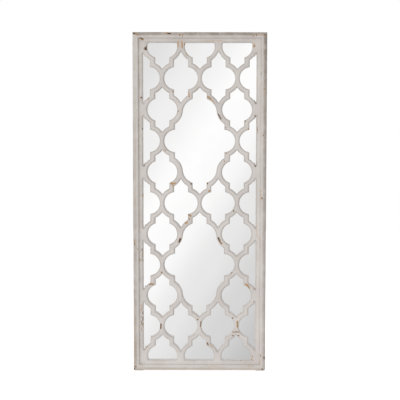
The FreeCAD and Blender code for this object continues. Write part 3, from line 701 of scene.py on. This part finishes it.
PANEL_FRONT, PANEL_BACK = PANEL_LOW.y, PANEL_HIGH.y
PANEL_SHARP = 55
FAR_FROM_EDGE = EDGE * 2
EDGE_RINGS = [0.5 * MM, 1.2 * MM, 2.2 * MM, 3.4 * MM, 4.8 * MM, 6.4 * MM, 8.4 * MM]
EDGE_WIDTH, EDGE_POWER = 8 * MM, 1.3
RING_SPARE, TIP_REACH = 0.97, 1.5
FINE_SHARES = (0, 0.2, 0.4, 0.6, 0.8)
GRID, GRID_SHAKE_PART = 11 * MM, 5
GRID_CLEAR = EDGE_RINGS[-1] * 1.4
MARK_POINTS, MARK_POINTS_PER_MM, MARK_SCATTER, MARK_CLEAR = 30, 6, 0.8, 0.4 * MM
DRIFT, DRIFT_SCALE = 0.3 * MM, 16
UNEVEN_LAYER, GRAIN_LAYER = 0.4, 0.3
INSIDE_OUTLINES, MERGE = 1, 1e-6

# Painted shade, dirt and rubbing of the panel's front
LEFT_END = MOULDING * 1.5 - HALF_WIDTH
RECESS_REACH, RECESS_SHADE, LEFT_RECESS_SHADE = 6 * MM, 0.05, 0.6
TOP_DUST_AND_SHADE, HIGH_DUST_AND_SHADE, LEFT_SHADE = 0.25, 0.2, 0.05
RIM_MIDDLE, RIM_REACH = 3 * MM, 4.5 * MM
RIM_SHADE, RIM_SHADE_RISE, RIM_SHADE_HEIGHT = 0.12, 0.43, 0.8
RUB_MIDDLE, RUB_REACH = 2.5 * MM, 3.5 * MM
# Painted light: the walls of the openings are painted lighter, partly at the front edge and fully at the
# back, as if lit by light off the mirror.
EDGE_WALL_LIGHT = 0.3


def wood_only(triangles, barriers, start):
    """The triangles that can be reached from the rim without crossing an outline."""
    beside = {}
    for index, triangle in enumerate(triangles):
        for corner in range(3):
            beside.setdefault(frozenset((triangle[corner], triangle[corner - 1])), []).append(index)
    reached = set(beside[start])
    queue = list(reached)
    while queue:
        triangle = triangles[queue.pop()]
        for corner in range(3):
            edge = frozenset((triangle[corner], triangle[corner - 1]))
            if edge not in barriers:
                found = [index for index in beside[edge] if index not in reached]
                reached.update(found)
                queue += found
    return [triangles[index] for index in sorted(reached)]


def filled(points, edges):
    """The flat points, the triangles over the wood, and where each point went."""
    flat, _, triangles, origins, _, _ = delaunay_2d_cdt(points, edges, [], INSIDE_OUTLINES, MERGE)
    where = {source: index for index, sources in enumerate(origins) for source in sources}
    barriers = {frozenset((where[first], where[last])) for first, last in edges}
    start = frozenset(where[index] for index in edges[0])
    return flat, wood_only(triangles, barriers, start), where


def edge_finder(loops):
    """A function that tells how far a point is from the nearest opening."""
    fine = [start.lerp(loop[(index + 1) % len(loop)], share)
            for loop in loops for index, start in enumerate(loop) for share in FINE_SHARES]
    tree = kdtree.KDTree(len(fine))
    for index, point in enumerate(fine):
        tree.insert((point.x, point.y, 0), index)
    tree.balance()
    return lambda point: tree.find((point.x, point.y, 0))[2]


def edge_points(loops, edge_distance):
    """Points beside every opening, in rings that shape its eased front edge."""
    points = []
    for loop in loops:
        for index, point in enumerate(loop):
            along = (loop[(index + 1) % len(loop)] - loop[index - 1]).normalized()
            outward = Vector((along.y, -along.x))
            if turn_at(loop, index) < -SHARP_TURN:
                points += [point + outward * ring * TIP_REACH for ring in EDGE_RINGS]
                continue
            for ring in EDGE_RINGS:
                spot = point + outward * ring
                if edge_distance(spot) > ring * RING_SPARE:
                    points.append(spot)
    return points


def grid_points(edge_distance):
    """Loosely even points over the wood between the edges."""
    points = []
    x = PANEL_LOW.x + GRID / 2
    while x < PANEL_HIGH.x:
        z = PANEL_LOW.z + GRID / 2
        while z < PANEL_HIGH.z:
            shake = Vector((random.uniform(-1, 1), random.uniform(-1, 1))) * GRID / GRID_SHAKE_PART
            spot = Vector((x, z)) + shake
            if edge_distance(spot) > GRID_CLEAR:
                points.append(spot)
            z += GRID
        x += GRID
    return points


def mark_points(edge_distance):
    """More points where the paint is gone."""
    points = []
    for mark in marks:
        run = mark.end - mark.start
        for _ in range(round(MARK_POINTS + run.length / MM * MARK_POINTS_PER_MM)):
            spread = Vector((random.gauss(0, 1), random.gauss(0, 1))) * mark.half_width * MARK_SCATTER
            spot = mark.start + run * random.random() + spread
            inside = (PANEL_LOW.x + GRID < spot.x < PANEL_HIGH.x - GRID
                      and PANEL_LOW.z + GRID < spot.y < PANEL_HIGH.z - GRID)
            if inside and edge_distance(spot) > MARK_CLEAR:
                points.append(spot)
    return points


def panel_grime(point, distance):
    """Painted shade with some dust on the panel's front: in the recess along the frame, round the openings,
    near the top and at the left.
    """
    across = min(HALF_WIDTH - abs(point.x), point.y - FRAME_LOW, FRAME_HIGH - point.y)
    at_left = point.x < LEFT_END
    # Painted shade: the recess along the frame, most at the left, and the eased edges round the openings,
    # more higher up.
    recess_shade = 1 - clamped((across - MOULDING) / RECESS_REACH)
    rim = max(0.0, 1 - abs(distance - RIM_MIDDLE) / RIM_REACH)
    rim *= RIM_SHADE + RIM_SHADE_RISE * min(point.y / RIM_SHADE_HEIGHT, 1)
    # Darker near the top and at the left: painted shade with some dust.
    high = max((point.y - FRAME_LOW) / (FRAME_HIGH - FRAME_LOW), 0) ** TOP_POWER
    soil = max(TOP_DUST_AND_SHADE * (point.y > WINDOW_HIGH), HIGH_DUST_AND_SHADE * high) + LEFT_SHADE * at_left
    return max(recess_shade * (RECESS_SHADE + LEFT_RECESS_SHADE * at_left), rim, soil)


def panel(material):
    """The pierced panel: front, eased edges, walls of the openings and back."""
    loops = openings()
    rim = subdivided([
        Vector((PANEL_LOW.x, PANEL_LOW.z)), Vector((PANEL_HIGH.x, PANEL_LOW.z)),
        Vector((PANEL_HIGH.x, PANEL_HIGH.z)), Vector((PANEL_LOW.x, PANEL_HIGH.z)),
    ])
    edge_distance = edge_finder(loops)
    outline, edges = [], []
    for loop in [rim] + loops:
        first = len(outline)
        outline += loop
        edges += [(first + index, first + (index + 1) % len(loop)) for index in range(len(loop))]
    points = outline + edge_points(loops, edge_distance) + grid_points(edge_distance)
    flat, triangles, where = filled(points + mark_points(edge_distance), edges)
    on_edge = {where[index] for index in range(len(outline))}
    vertices, values, grain = [], [], []

    def add(point, y, distance, **paint):
        drift = noise.noise_vector(Vector((point.x, 0, point.y)) * DRIFT_SCALE) * DRIFT
        spot = Vector((point.x + drift.x, y, point.y + drift.z))
        vertices.append(spot)
        values.append({"rub": max(0.0, 1 - abs(distance - RUB_MIDDLE) / RUB_REACH), "bare": PAINTED, **paint})
        grain.append((spot.z, spot.x, GRAIN_LAYER))

    for index, point in enumerate(flat):
        distance = edge_distance(point)
        if index in on_edge:
            distance = FAR_FROM_EDGE if distance > FAR_FROM_EDGE else 0.0
        depth = EDGE * max(0.0, 1 - distance / EDGE_WIDTH) ** EDGE_POWER
        wear, tone = wear_at(point.x, point.y)
        bump = uneven(Vector((point.x, UNEVEN_LAYER, point.y))) * (distance > 0)
        add(point, PANEL_FRONT + depth + CHIP * wear - bump, distance, wear=wear, tone=tone,
            grime=panel_grime(point, distance), fresh=EDGE_WALL_LIGHT * (distance == 0))
    back = len(vertices)
    for point in outline:
        add(point, PANEL_BACK, 0.0, wear=0.0, tone=PLAIN_TONE, grime=0, fresh=1)
    faces = [tuple(triangle) for triangle in triangles]
    faces += [(where[here], where[after], back + after, back + here) for here, after in edges]
    _, back_triangles, back_where = filled(outline, edges)
    source_of = {index: source for source, index in back_where.items()}
    for triangle in back_triangles:
        faces.append(tuple(back + source_of[index] for index in reversed(triangle)))
    piece = mesh_piece("fretwork_panel_worn", vertices, faces, values, grain, material, PANEL_SHARP)
    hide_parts("fretwork_panel")
    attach(piece, BODY)


# Materials

# The third colour is the lighter paint of the painted light on the walls of the openings.
PAINT, PAINT_GREY, PAINT_WALL_LIGHT = (0.655, 0.617, 0.590), (0.560, 0.522, 0.500), (0.860, 0.840, 0.815)
PAINT_RELIEF, PAINT_GLOSS = 0.35 * MM, 0.35
UNDERCOAT, DIRT_AND_SHADE = (0.475, 0.385, 0.325), (0.250, 0.205, 0.165)
WOOD_LIGHT, WOOD_DARK = (0.450, 0.275, 0.130), (0.085, 0.045, 0.025)
WORN_LIGHT, WORN_DARK = (0.560, 0.430, 0.300), (0.340, 0.255, 0.195)
RAW_WOOD, RAW_GRAIN = (0.420, 0.280, 0.165), (0.250, 0.150, 0.080)
SILVER, SILVER_HAZE = (0.932, 0.932, 0.930), (0.918, 0.918, 0.916)
BOARD, BOARD_BLOT = (0.228, 0.124, 0.064), (0.204, 0.109, 0.056)
BOARD_FIBRE, BOARD_FLECK, BOARD_RELIEF = (0.335, 0.205, 0.115), (0.085, 0.045, 0.024), 0.25 * MM
BEECH, BEECH_RAY, BEECH_RELIEF = (0.560, 0.370, 0.220), (0.400, 0.240, 0.130), 0.2 * MM
FOAM_PIT, FOAM, FOAM_RELIEF = (0.030, 0.030, 0.032), (0.085, 0.085, 0.088), 0.4 * MM
RUBBER, RUBBER_BLOOM, RUBBER_RELIEF = (0.022, 0.021, 0.020), (0.062, 0.059, 0.055), 0.1 * MM
FELT, FELT_TUFT, FELT_WOOL = (0.420, 0.380, 0.340), (0.520, 0.475, 0.430), (0.600, 0.555, 0.510)
FELT_RELIEF, FELT_SHEEN = 0.6 * MM, 0.4
SCREW_BRIGHT, SCREW_DULL = (0.690, 0.640, 0.520), (0.520, 0.470, 0.360)
ZINC_BRIGHT, ZINC_DULL = (0.620, 0.630, 0.640), (0.420, 0.430, 0.445)
STEEL_STAIN, STEEL_RELIEF = (0.300, 0.245, 0.180), 0.05 * MM
SCRATCH_SHAPE = (1, 0.06, 0.3)
METAL = {"Metallic": 1.0}
WHITE = (1, 1, 1)


class Graph:
    """Adds nodes to one shader with short calls."""

    def __init__(self, tree):
        self.tree = tree
        tree.nodes.clear()

    def put(self, socket, value):
        if isinstance(value, bpy.types.NodeSocket):
            self.tree.links.new(value, socket)
        elif hasattr(socket.default_value, "__len__") and len(socket.default_value) == 4 and len(value) == 3:
            socket.default_value = (*value, 1)
        else:
            socket.default_value = value

    def add(self, kind, inputs, **settings):
        node = self.tree.nodes.new(kind)
        for key, value in settings.items():
            setattr(node, key, value)
        for key, value in inputs.items():
            self.put(node.inputs[key], value)
        return node

    def math(self, operation, first, second=0.0):
        return self.add("ShaderNodeMath", {0: first, 1: second}, operation=operation).outputs[0]

    def plus(self, first, second):
        return self.math("ADD", first, second)

    def minus(self, first, second):
        return self.math("SUBTRACT", first, second)

    def times(self, first, second):
        return self.math("MULTIPLY", first, second)

    def mix(self, factor, first, second):
        return self.add("ShaderNodeMix", {0: factor, 6: first, 7: second}, data_type="RGBA").outputs[2]

    def stretch(self, vector, scale):
        return self.add("ShaderNodeMapping", {"Vector": vector, "Scale": scale}).outputs[0]

    def noise(self, vector, scale, detail=4.0, roughness=0.55):
        inputs = {"Vector": vector, "Scale": scale, "Detail": detail, "Roughness": roughness}
        return self.add("ShaderNodeTexNoise", inputs).outputs["Fac"]

    def cells(self, vector, scale, output):
        return self.add("ShaderNodeTexVoronoi", {"Vector": vector, "Scale": scale}).outputs[output]

    def step(self, value, low, high, start=0.0, end=1.0):
        inputs = {"Value": value, "From Min": low, "From Max": high, "To Min": start, "To Max": end}
        return self.add("ShaderNodeMapRange", inputs, interpolation_type="SMOOTHSTEP").outputs["Result"]

    def attribute(self, name, output="Fac"):
        return self.add("ShaderNodeAttribute", {}, attribute_name=name).outputs[output]

    def place(self, output="Object"):
        return self.add("ShaderNodeTexCoord", {}).outputs[output]

    def bump(self, height, distance, strength=1.0):
        inputs = {"Height": height, "Distance": distance, "Strength": strength}
        return self.add("ShaderNodeBump", inputs).outputs["Normal"]


def new_material(name, constants):
    """A new material: a function that sets what varies over it, its graph, and places on it."""
    material = bpy.data.materials.new(name)
    material.use_nodes = True
    graph = Graph(material.node_tree)
    shader = graph.add("ShaderNodeBsdfPrincipled", constants)
    graph.add("ShaderNodeOutputMaterial", {"Surface": shader.outputs[0]})

    def coat(colour, roughness=None, normal=None):
        for key, value in (("Base Color", colour), ("Roughness", roughness), ("Normal", normal)):
            if value is not None:
                graph.put(shader.inputs[key], value)
        return material

    return coat, graph, graph.place()


def paint_material():
    """Brushed off-white paint over a brown undercoat, chipped to the wood, dirty and with painted shade in
    its corners and recesses, and with painted light on the walls of the openings.
    """
    coat, graph, place = new_material("distressed_paint", {"Specular IOR Level": PAINT_GLOSS})
    grain = graph.attribute("grain", "Vector")
    rub = graph.attribute("rub")
    clouds = graph.noise(place, 6, 3)
    patches = graph.noise(place, 26, 5, 0.6)
    spots = graph.noise(place, 60, 3)
    break_up = graph.noise(place, 150, 5, 0.7)
    specks = graph.noise(place, 330, 5, 0.65)
    strokes = graph.noise(graph.stretch(grain, (7, 330, 50)), 1, 4, 0.6)
    hairs = graph.noise(graph.stretch(grain, (22, 1500, 50)), 1, 3)
    rings = graph.noise(graph.stretch(grain, (3, 260, 50)), 1, 5, 0.6)

    colour = graph.mix(graph.step(clouds, 0.3, 0.75), PAINT, PAINT_GREY)
    colour = graph.mix(graph.step(hairs, 0.45, 0.8, 0, 0.35), colour, PAINT_GREY)
    thin = graph.times(graph.step(strokes, 0.50, 0.72), graph.step(patches, 0.40, 0.62))
    colour = graph.mix(graph.times(thin, 0.6), colour, UNDERCOAT)
    rubbed = graph.times(rub, graph.step(break_up, 0.5, 0.72))
    rubbed = graph.times(rubbed, graph.step(patches, 0.36, 0.62))
    colour = graph.mix(graph.times(rubbed, 0.7), colour, UNDERCOAT)
    # Painted light on the walls of the openings: a lighter paint colour.
    colour = graph.mix(graph.attribute("fresh"), colour, PAINT_WALL_LIGHT)
    # Painted shade mixed with dirt: the grime values darken recesses, eased edges, the top and the left
    # towards a brown shade colour.
    dirt_and_shade = graph.times(graph.attribute("grime"), graph.step(patches, 0.2, 0.7, 0.35, 0.8))
    colour = graph.mix(dirt_and_shade, colour, DIRT_AND_SHADE)

    wear = graph.plus(graph.attribute("wear"), graph.times(graph.minus(break_up, 0.5), 1.1))
    edge_chips = graph.times(rub, graph.step(spots, 0.64, 0.74))
    wear = graph.math("MAXIMUM", wear, graph.times(edge_chips, graph.step(specks, 0.45, 0.6)))
    chipped = graph.step(wear, 0.36, 0.5)
    halo = graph.step(wear, 0.05, 0.4)
    tone = graph.plus(graph.attribute("tone"), graph.times(graph.minus(specks, 0.5), 1.8))
    worn_paint = graph.mix(graph.step(tone, 0.2, 0.8), WORN_LIGHT, WORN_DARK)
    colour = graph.mix(graph.times(halo, 0.75), colour, worn_paint)
    wood = graph.mix(graph.step(tone, 0.15, 0.75), WOOD_LIGHT, WOOD_DARK)
    colour = graph.mix(chipped, colour, wood)

    raw = graph.mix(graph.step(rings, 0.35, 0.7), RAW_WOOD, RAW_GRAIN)
    bare = graph.plus(graph.attribute("bare"), graph.times(patches, 0.3))
    colour = graph.mix(graph.step(bare, 0.55, 0.75), colour, raw)
    roughness = graph.plus(graph.step(strokes, 0.3, 0.8, 0.52, 0.7), graph.times(chipped, 0.16))
    relief = graph.plus(graph.times(strokes, 0.35), graph.times(hairs, 0.15))
    relief = graph.minus(relief, graph.times(chipped, 0.9))
    return coat(colour, roughness, graph.bump(relief, PAINT_RELIEF, 0.35))


def mirror_material():
    """Silvered glass with a trace of dust."""
    coat, graph, place = new_material("mirror_silver", METAL)
    haze = graph.noise(place, 9, 4)
    dust = graph.noise(place, 900, 2)
    colour = graph.mix(graph.step(haze, 0.3, 0.7), SILVER, SILVER_HAZE)
    hazy = graph.step(haze, 0.35, 0.75, 0.006, 0.016)
    return coat(colour, graph.plus(hazy, graph.step(dust, 0.7, 0.8, 0, 0.03)))


def hardboard_material():
    """Pressed fibre board, smooth side out."""
    coat, graph, place = new_material("pressed_fibre_board", {})
    fibres = graph.noise(graph.stretch(place, (260, 260, 900)), 1, 5, 0.7)
    blots = graph.noise(place, 5, 6, 0.65)
    flecks = graph.noise(place, 620, 3, 0.7)
    colour = graph.mix(graph.step(blots, 0.3, 0.7), BOARD, BOARD_BLOT)
    colour = graph.mix(graph.step(fibres, 0.45, 0.75, 0, 0.6), colour, BOARD_FIBRE)
    colour = graph.mix(graph.step(flecks, 0.62, 0.74, 0, 0.7), colour, BOARD_FLECK)
    return coat(colour, graph.step(fibres, 0.3, 0.8, 0.5, 0.72), graph.bump(fibres, BOARD_RELIEF, 0.6))


def beech_material():
    """Pale wood with fine rays."""
    coat, graph, place = new_material("beech", {})
    rays = graph.noise(graph.stretch(place, (90, 700, 700)), 1, 4)
    colour = graph.mix(graph.step(rays, 0.35, 0.7), BEECH, BEECH_RAY)
    return coat(colour, graph.step(rays, 0.3, 0.7, 0.5, 0.65), graph.bump(rays, BEECH_RELIEF))


def foam_material():
    """Dark foam with open cells."""
    coat, graph, place = new_material("cell_foam", {})
    cells = graph.cells(place, 900, "Distance")
    colour = graph.mix(graph.step(cells, 0.1, 0.6), FOAM_PIT, FOAM)
    return coat(colour, graph.step(cells, 0, 0.7, 0.75, 0.95), graph.bump(cells, FOAM_RELIEF))


def rubber_material():
    """Black rubber with a grey bloom and small pits."""
    coat, graph, place = new_material("moulded_rubber", {})
    bloom = graph.noise(place, 120, 4)
    pits = graph.noise(place, 1500, 2)
    colour = graph.mix(graph.step(bloom, 0.4, 0.75), RUBBER, RUBBER_BLOOM)
    return coat(colour, graph.step(bloom, 0.3, 0.7, 0.55, 0.8), graph.bump(pits, RUBBER_RELIEF))


def felt_material():
    """Pale wool felt."""
    coat, graph, place = new_material("wool_felt", {"Sheen Weight": FELT_SHEEN})
    wool = graph.noise(place, 900, 6, 0.75)
    tufts = graph.noise(place, 160, 4)
    colour = graph.mix(graph.step(tufts, 0.3, 0.7), FELT, FELT_TUFT)
    colour = graph.mix(graph.step(wool, 0.5, 0.75, 0, 0.6), colour, FELT_WOOL)
    return coat(colour, graph.step(wool, 0.3, 0.8, 0.85, 1.0), graph.bump(wool, FELT_RELIEF))


def steel_material(name, bright, dull, spangle, scratch):
    """Plated steel with crystal patches, fine scratches and a few stains."""
    coat, graph, place = new_material(name, METAL)
    patch = graph.add("ShaderNodeSeparateColor", {0: graph.cells(place, spangle, "Color")}).outputs
    lines = graph.noise(graph.stretch(place, [scratch * share for share in SCRATCH_SHAPE]), 1, 3)
    stain = graph.noise(place, 55, 4)
    colour = graph.mix(graph.step(patch[0], 0.1, 0.9), bright, dull)
    colour = graph.mix(graph.step(stain, 0.58, 0.78, 0, 0.5), colour, STEEL_STAIN)
    roughness = graph.plus(graph.step(patch[1], 0, 1, 0.24, 0.42), graph.step(lines, 0.55, 0.8, 0, 0.16))
    return coat(colour, roughness, graph.bump(lines, STEEL_RELIEF, 0.5))


FINISHES = {
    "mirror": mirror_material(),
    "hardboard": hardboard_material(),
    "beech": beech_material(),
    "foam": foam_material(),
    "rubber": rubber_material(),
    "felt": felt_material(),
    "screw_steel": steel_material("plated_screws", SCREW_BRIGHT, SCREW_DULL, spangle=700, scratch=1200),
    "zinc_steel": steel_material("zinc_plate", ZINC_BRIGHT, ZINC_DULL, spangle=260, scratch=900),
}

# Finish of each node that keeps its own mesh, by how its name starts
FINISH_OF = {
    "mirror_glass": "mirror", "backing_board": "hardboard", "backing_screws": "screw_steel",
    "corner_brace_screws": "screw_steel", "hanger_screws": "screw_steel",
    "mitre_biscuit": "beech", "setting_block": "rubber", "foam_strip": "foam", "corner_brace": "zinc_steel",
    "hanger_strap": "zinc_steel", "hanger_ring": "zinc_steel", "wall_bumper": "rubber", "floor_pad": "felt",
}


def dress_nodes():
    for name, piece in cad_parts.items():
        finish = next((finish for start, finish in FINISH_OF.items() if name.startswith(start)), None)
        if finish:
            for material_slot in piece.material_slots:
                material_slot.material = FINISHES[finish]


# Studio: pale floor, even surround that grades across the mirror, one soft light

FLOOR_SIZE = 14
FLOOR_GREY, FLOOR_WHITE = (0.93, 0.93, 0.93), (0.96, 0.96, 0.96)
FLOOR_ROUGHNESS, FLOOR_GLOSS, FLOOR_GLOW = 0.9, 0.1, 0.45
KEY_PLACE, KEY_TARGET = Vector((-1.2, -2.6, 0.9)), Vector((0, 0, 0.8))
KEY_SIZE, KEY_POWER = 1.6, 6
AMBIENT, AMBIENT_FRONT, AMBIENT_LEFT = 0.60, 0.60, 0.28

# Tone of the surround along the slanting line in which it grades, as the mirror shows it
GRADE_ACROSS, GRADE_UP = 1.5, -1.0
GRADE_STOPS = [
    (-3.4, 0.93), (-2.0, 0.68), (-1.17, 0.745), (-0.90, 0.87), (-0.66, 0.985), (-0.50, 0.955),
    (-0.28, 0.80), (-0.05, 0.67), (0.17, 0.54), (1.3, 0.60), (2.6, 0.80), (3.6, 0.95),
]
MIRROR_SHARE = 0.925


def make_floor():
    mesh = bpy.data.meshes.new("studio_floor")
    half = FLOOR_SIZE / 2
    corners = [(-half, -half, 0), (half, -half, 0), (half, half, 0), (-half, half, 0)]
    mesh.from_pydata(corners, [], [(0, 1, 2, 3)])
    floor = bpy.data.objects.new("studio_floor", mesh)
    bpy.context.scene.collection.objects.link(floor)
    coat, graph, place = new_material("floor_paint", {
        "Roughness": FLOOR_ROUGHNESS, "Specular IOR Level": FLOOR_GLOSS,
        "Emission Color": WHITE, "Emission Strength": FLOOR_GLOW,
    })
    mesh.materials.append(coat(graph.mix(graph.noise(place, 3, 3), FLOOR_GREY, FLOOR_WHITE)))
    floor.visible_glossy = False
    floor.visible_diffuse = False


def surround_grade(graph, way):
    """What the mirror shows of the surround in each direction."""
    length = math.hypot(GRADE_ACROSS, GRADE_UP)
    reach = -CAMERA.y / length
    slope = (GRADE_ACROSS * reach, 0, GRADE_UP * reach)
    slant = graph.add("ShaderNodeVectorMath", {0: way, 1: slope}, operation="DOT_PRODUCT").outputs["Value"]
    offset = (GRADE_ACROSS * CAMERA.x + GRADE_UP * CAMERA.z) / length
    first, last = GRADE_STOPS[0][0], GRADE_STOPS[-1][0]
    inputs = {"Value": graph.plus(slant, offset), "From Min": first, "From Max": last}
    along = graph.add("ShaderNodeMapRange", inputs).outputs["Result"]
    ramp = graph.add("ShaderNodeValToRGB", {0: along})
    ramp.color_ramp.interpolation = "EASE"
    stops = ramp.color_ramp.elements
    while len(stops) < len(GRADE_STOPS):
        stops.new(0.5)
    for stop, (place, tone) in zip(stops, GRADE_STOPS):
        stop.position = (place - first) / (last - first)
        stop.color = (tone / MIRROR_SHARE, tone / MIRROR_SHARE, tone / MIRROR_SHARE, 1)
    return ramp.outputs[0]


def ambient_light(graph, way):
    """Grey light from all round, brighter from front and back and from the left."""
    sides = graph.add("ShaderNodeSeparateXYZ", {0: way}).outputs
    facing = graph.times(graph.math("ABSOLUTE", sides["Y"]), AMBIENT_FRONT)
    leftward = graph.times(sides["X"], -AMBIENT_LEFT)
    grey = graph.math("MAXIMUM", graph.plus(graph.plus(facing, leftward), AMBIENT), 0)
    return graph.add("ShaderNodeCombineColor", {0: grey, 1: grey, 2: grey}).outputs[0]


def make_world():
    """A surround that is white behind the object, graded in the mirror and grey elsewhere."""
    world = bpy.data.worlds.new("studio")
    bpy.context.scene.world = world
    world.use_nodes = True
    graph = Graph(world.node_tree)
    way = graph.place("Generated")
    path = graph.add("ShaderNodeLightPath", {}).outputs
    colour = graph.mix(path["Is Glossy Ray"], ambient_light(graph, way), surround_grade(graph, way))
    colour = graph.mix(path["Is Camera Ray"], colour, WHITE)
    shade = graph.add("ShaderNodeBackground", {"Color": colour})
    graph.add("ShaderNodeOutputWorld", {"Surface": shade.outputs[0]})


def make_key_light():
    data = bpy.data.lights.new("key", "AREA")
    data.shape = "RECTANGLE"
    data.size, data.size_y = KEY_SIZE, KEY_SIZE
    data.energy = KEY_POWER
    lamp = bpy.data.objects.new("key", data)
    aim = (KEY_TARGET - KEY_PLACE).to_track_quat("-Z", "Y")
    lamp.matrix_world = Matrix.Translation(KEY_PLACE) @ aim.to_matrix().to_4x4()
    lamp.visible_glossy = False
    bpy.context.scene.collection.objects.link(lamp)


paint = paint_material()
for node, axis, edge, inward, dirt_and_shade in RAILS:
    rail(node, axis, edge, inward, dirt_and_shade, paint)
panel(paint)
dress_nodes()
make_floor()
make_world()
make_key_light()
bpy.context.scene.view_settings.view_transform = "Standard"
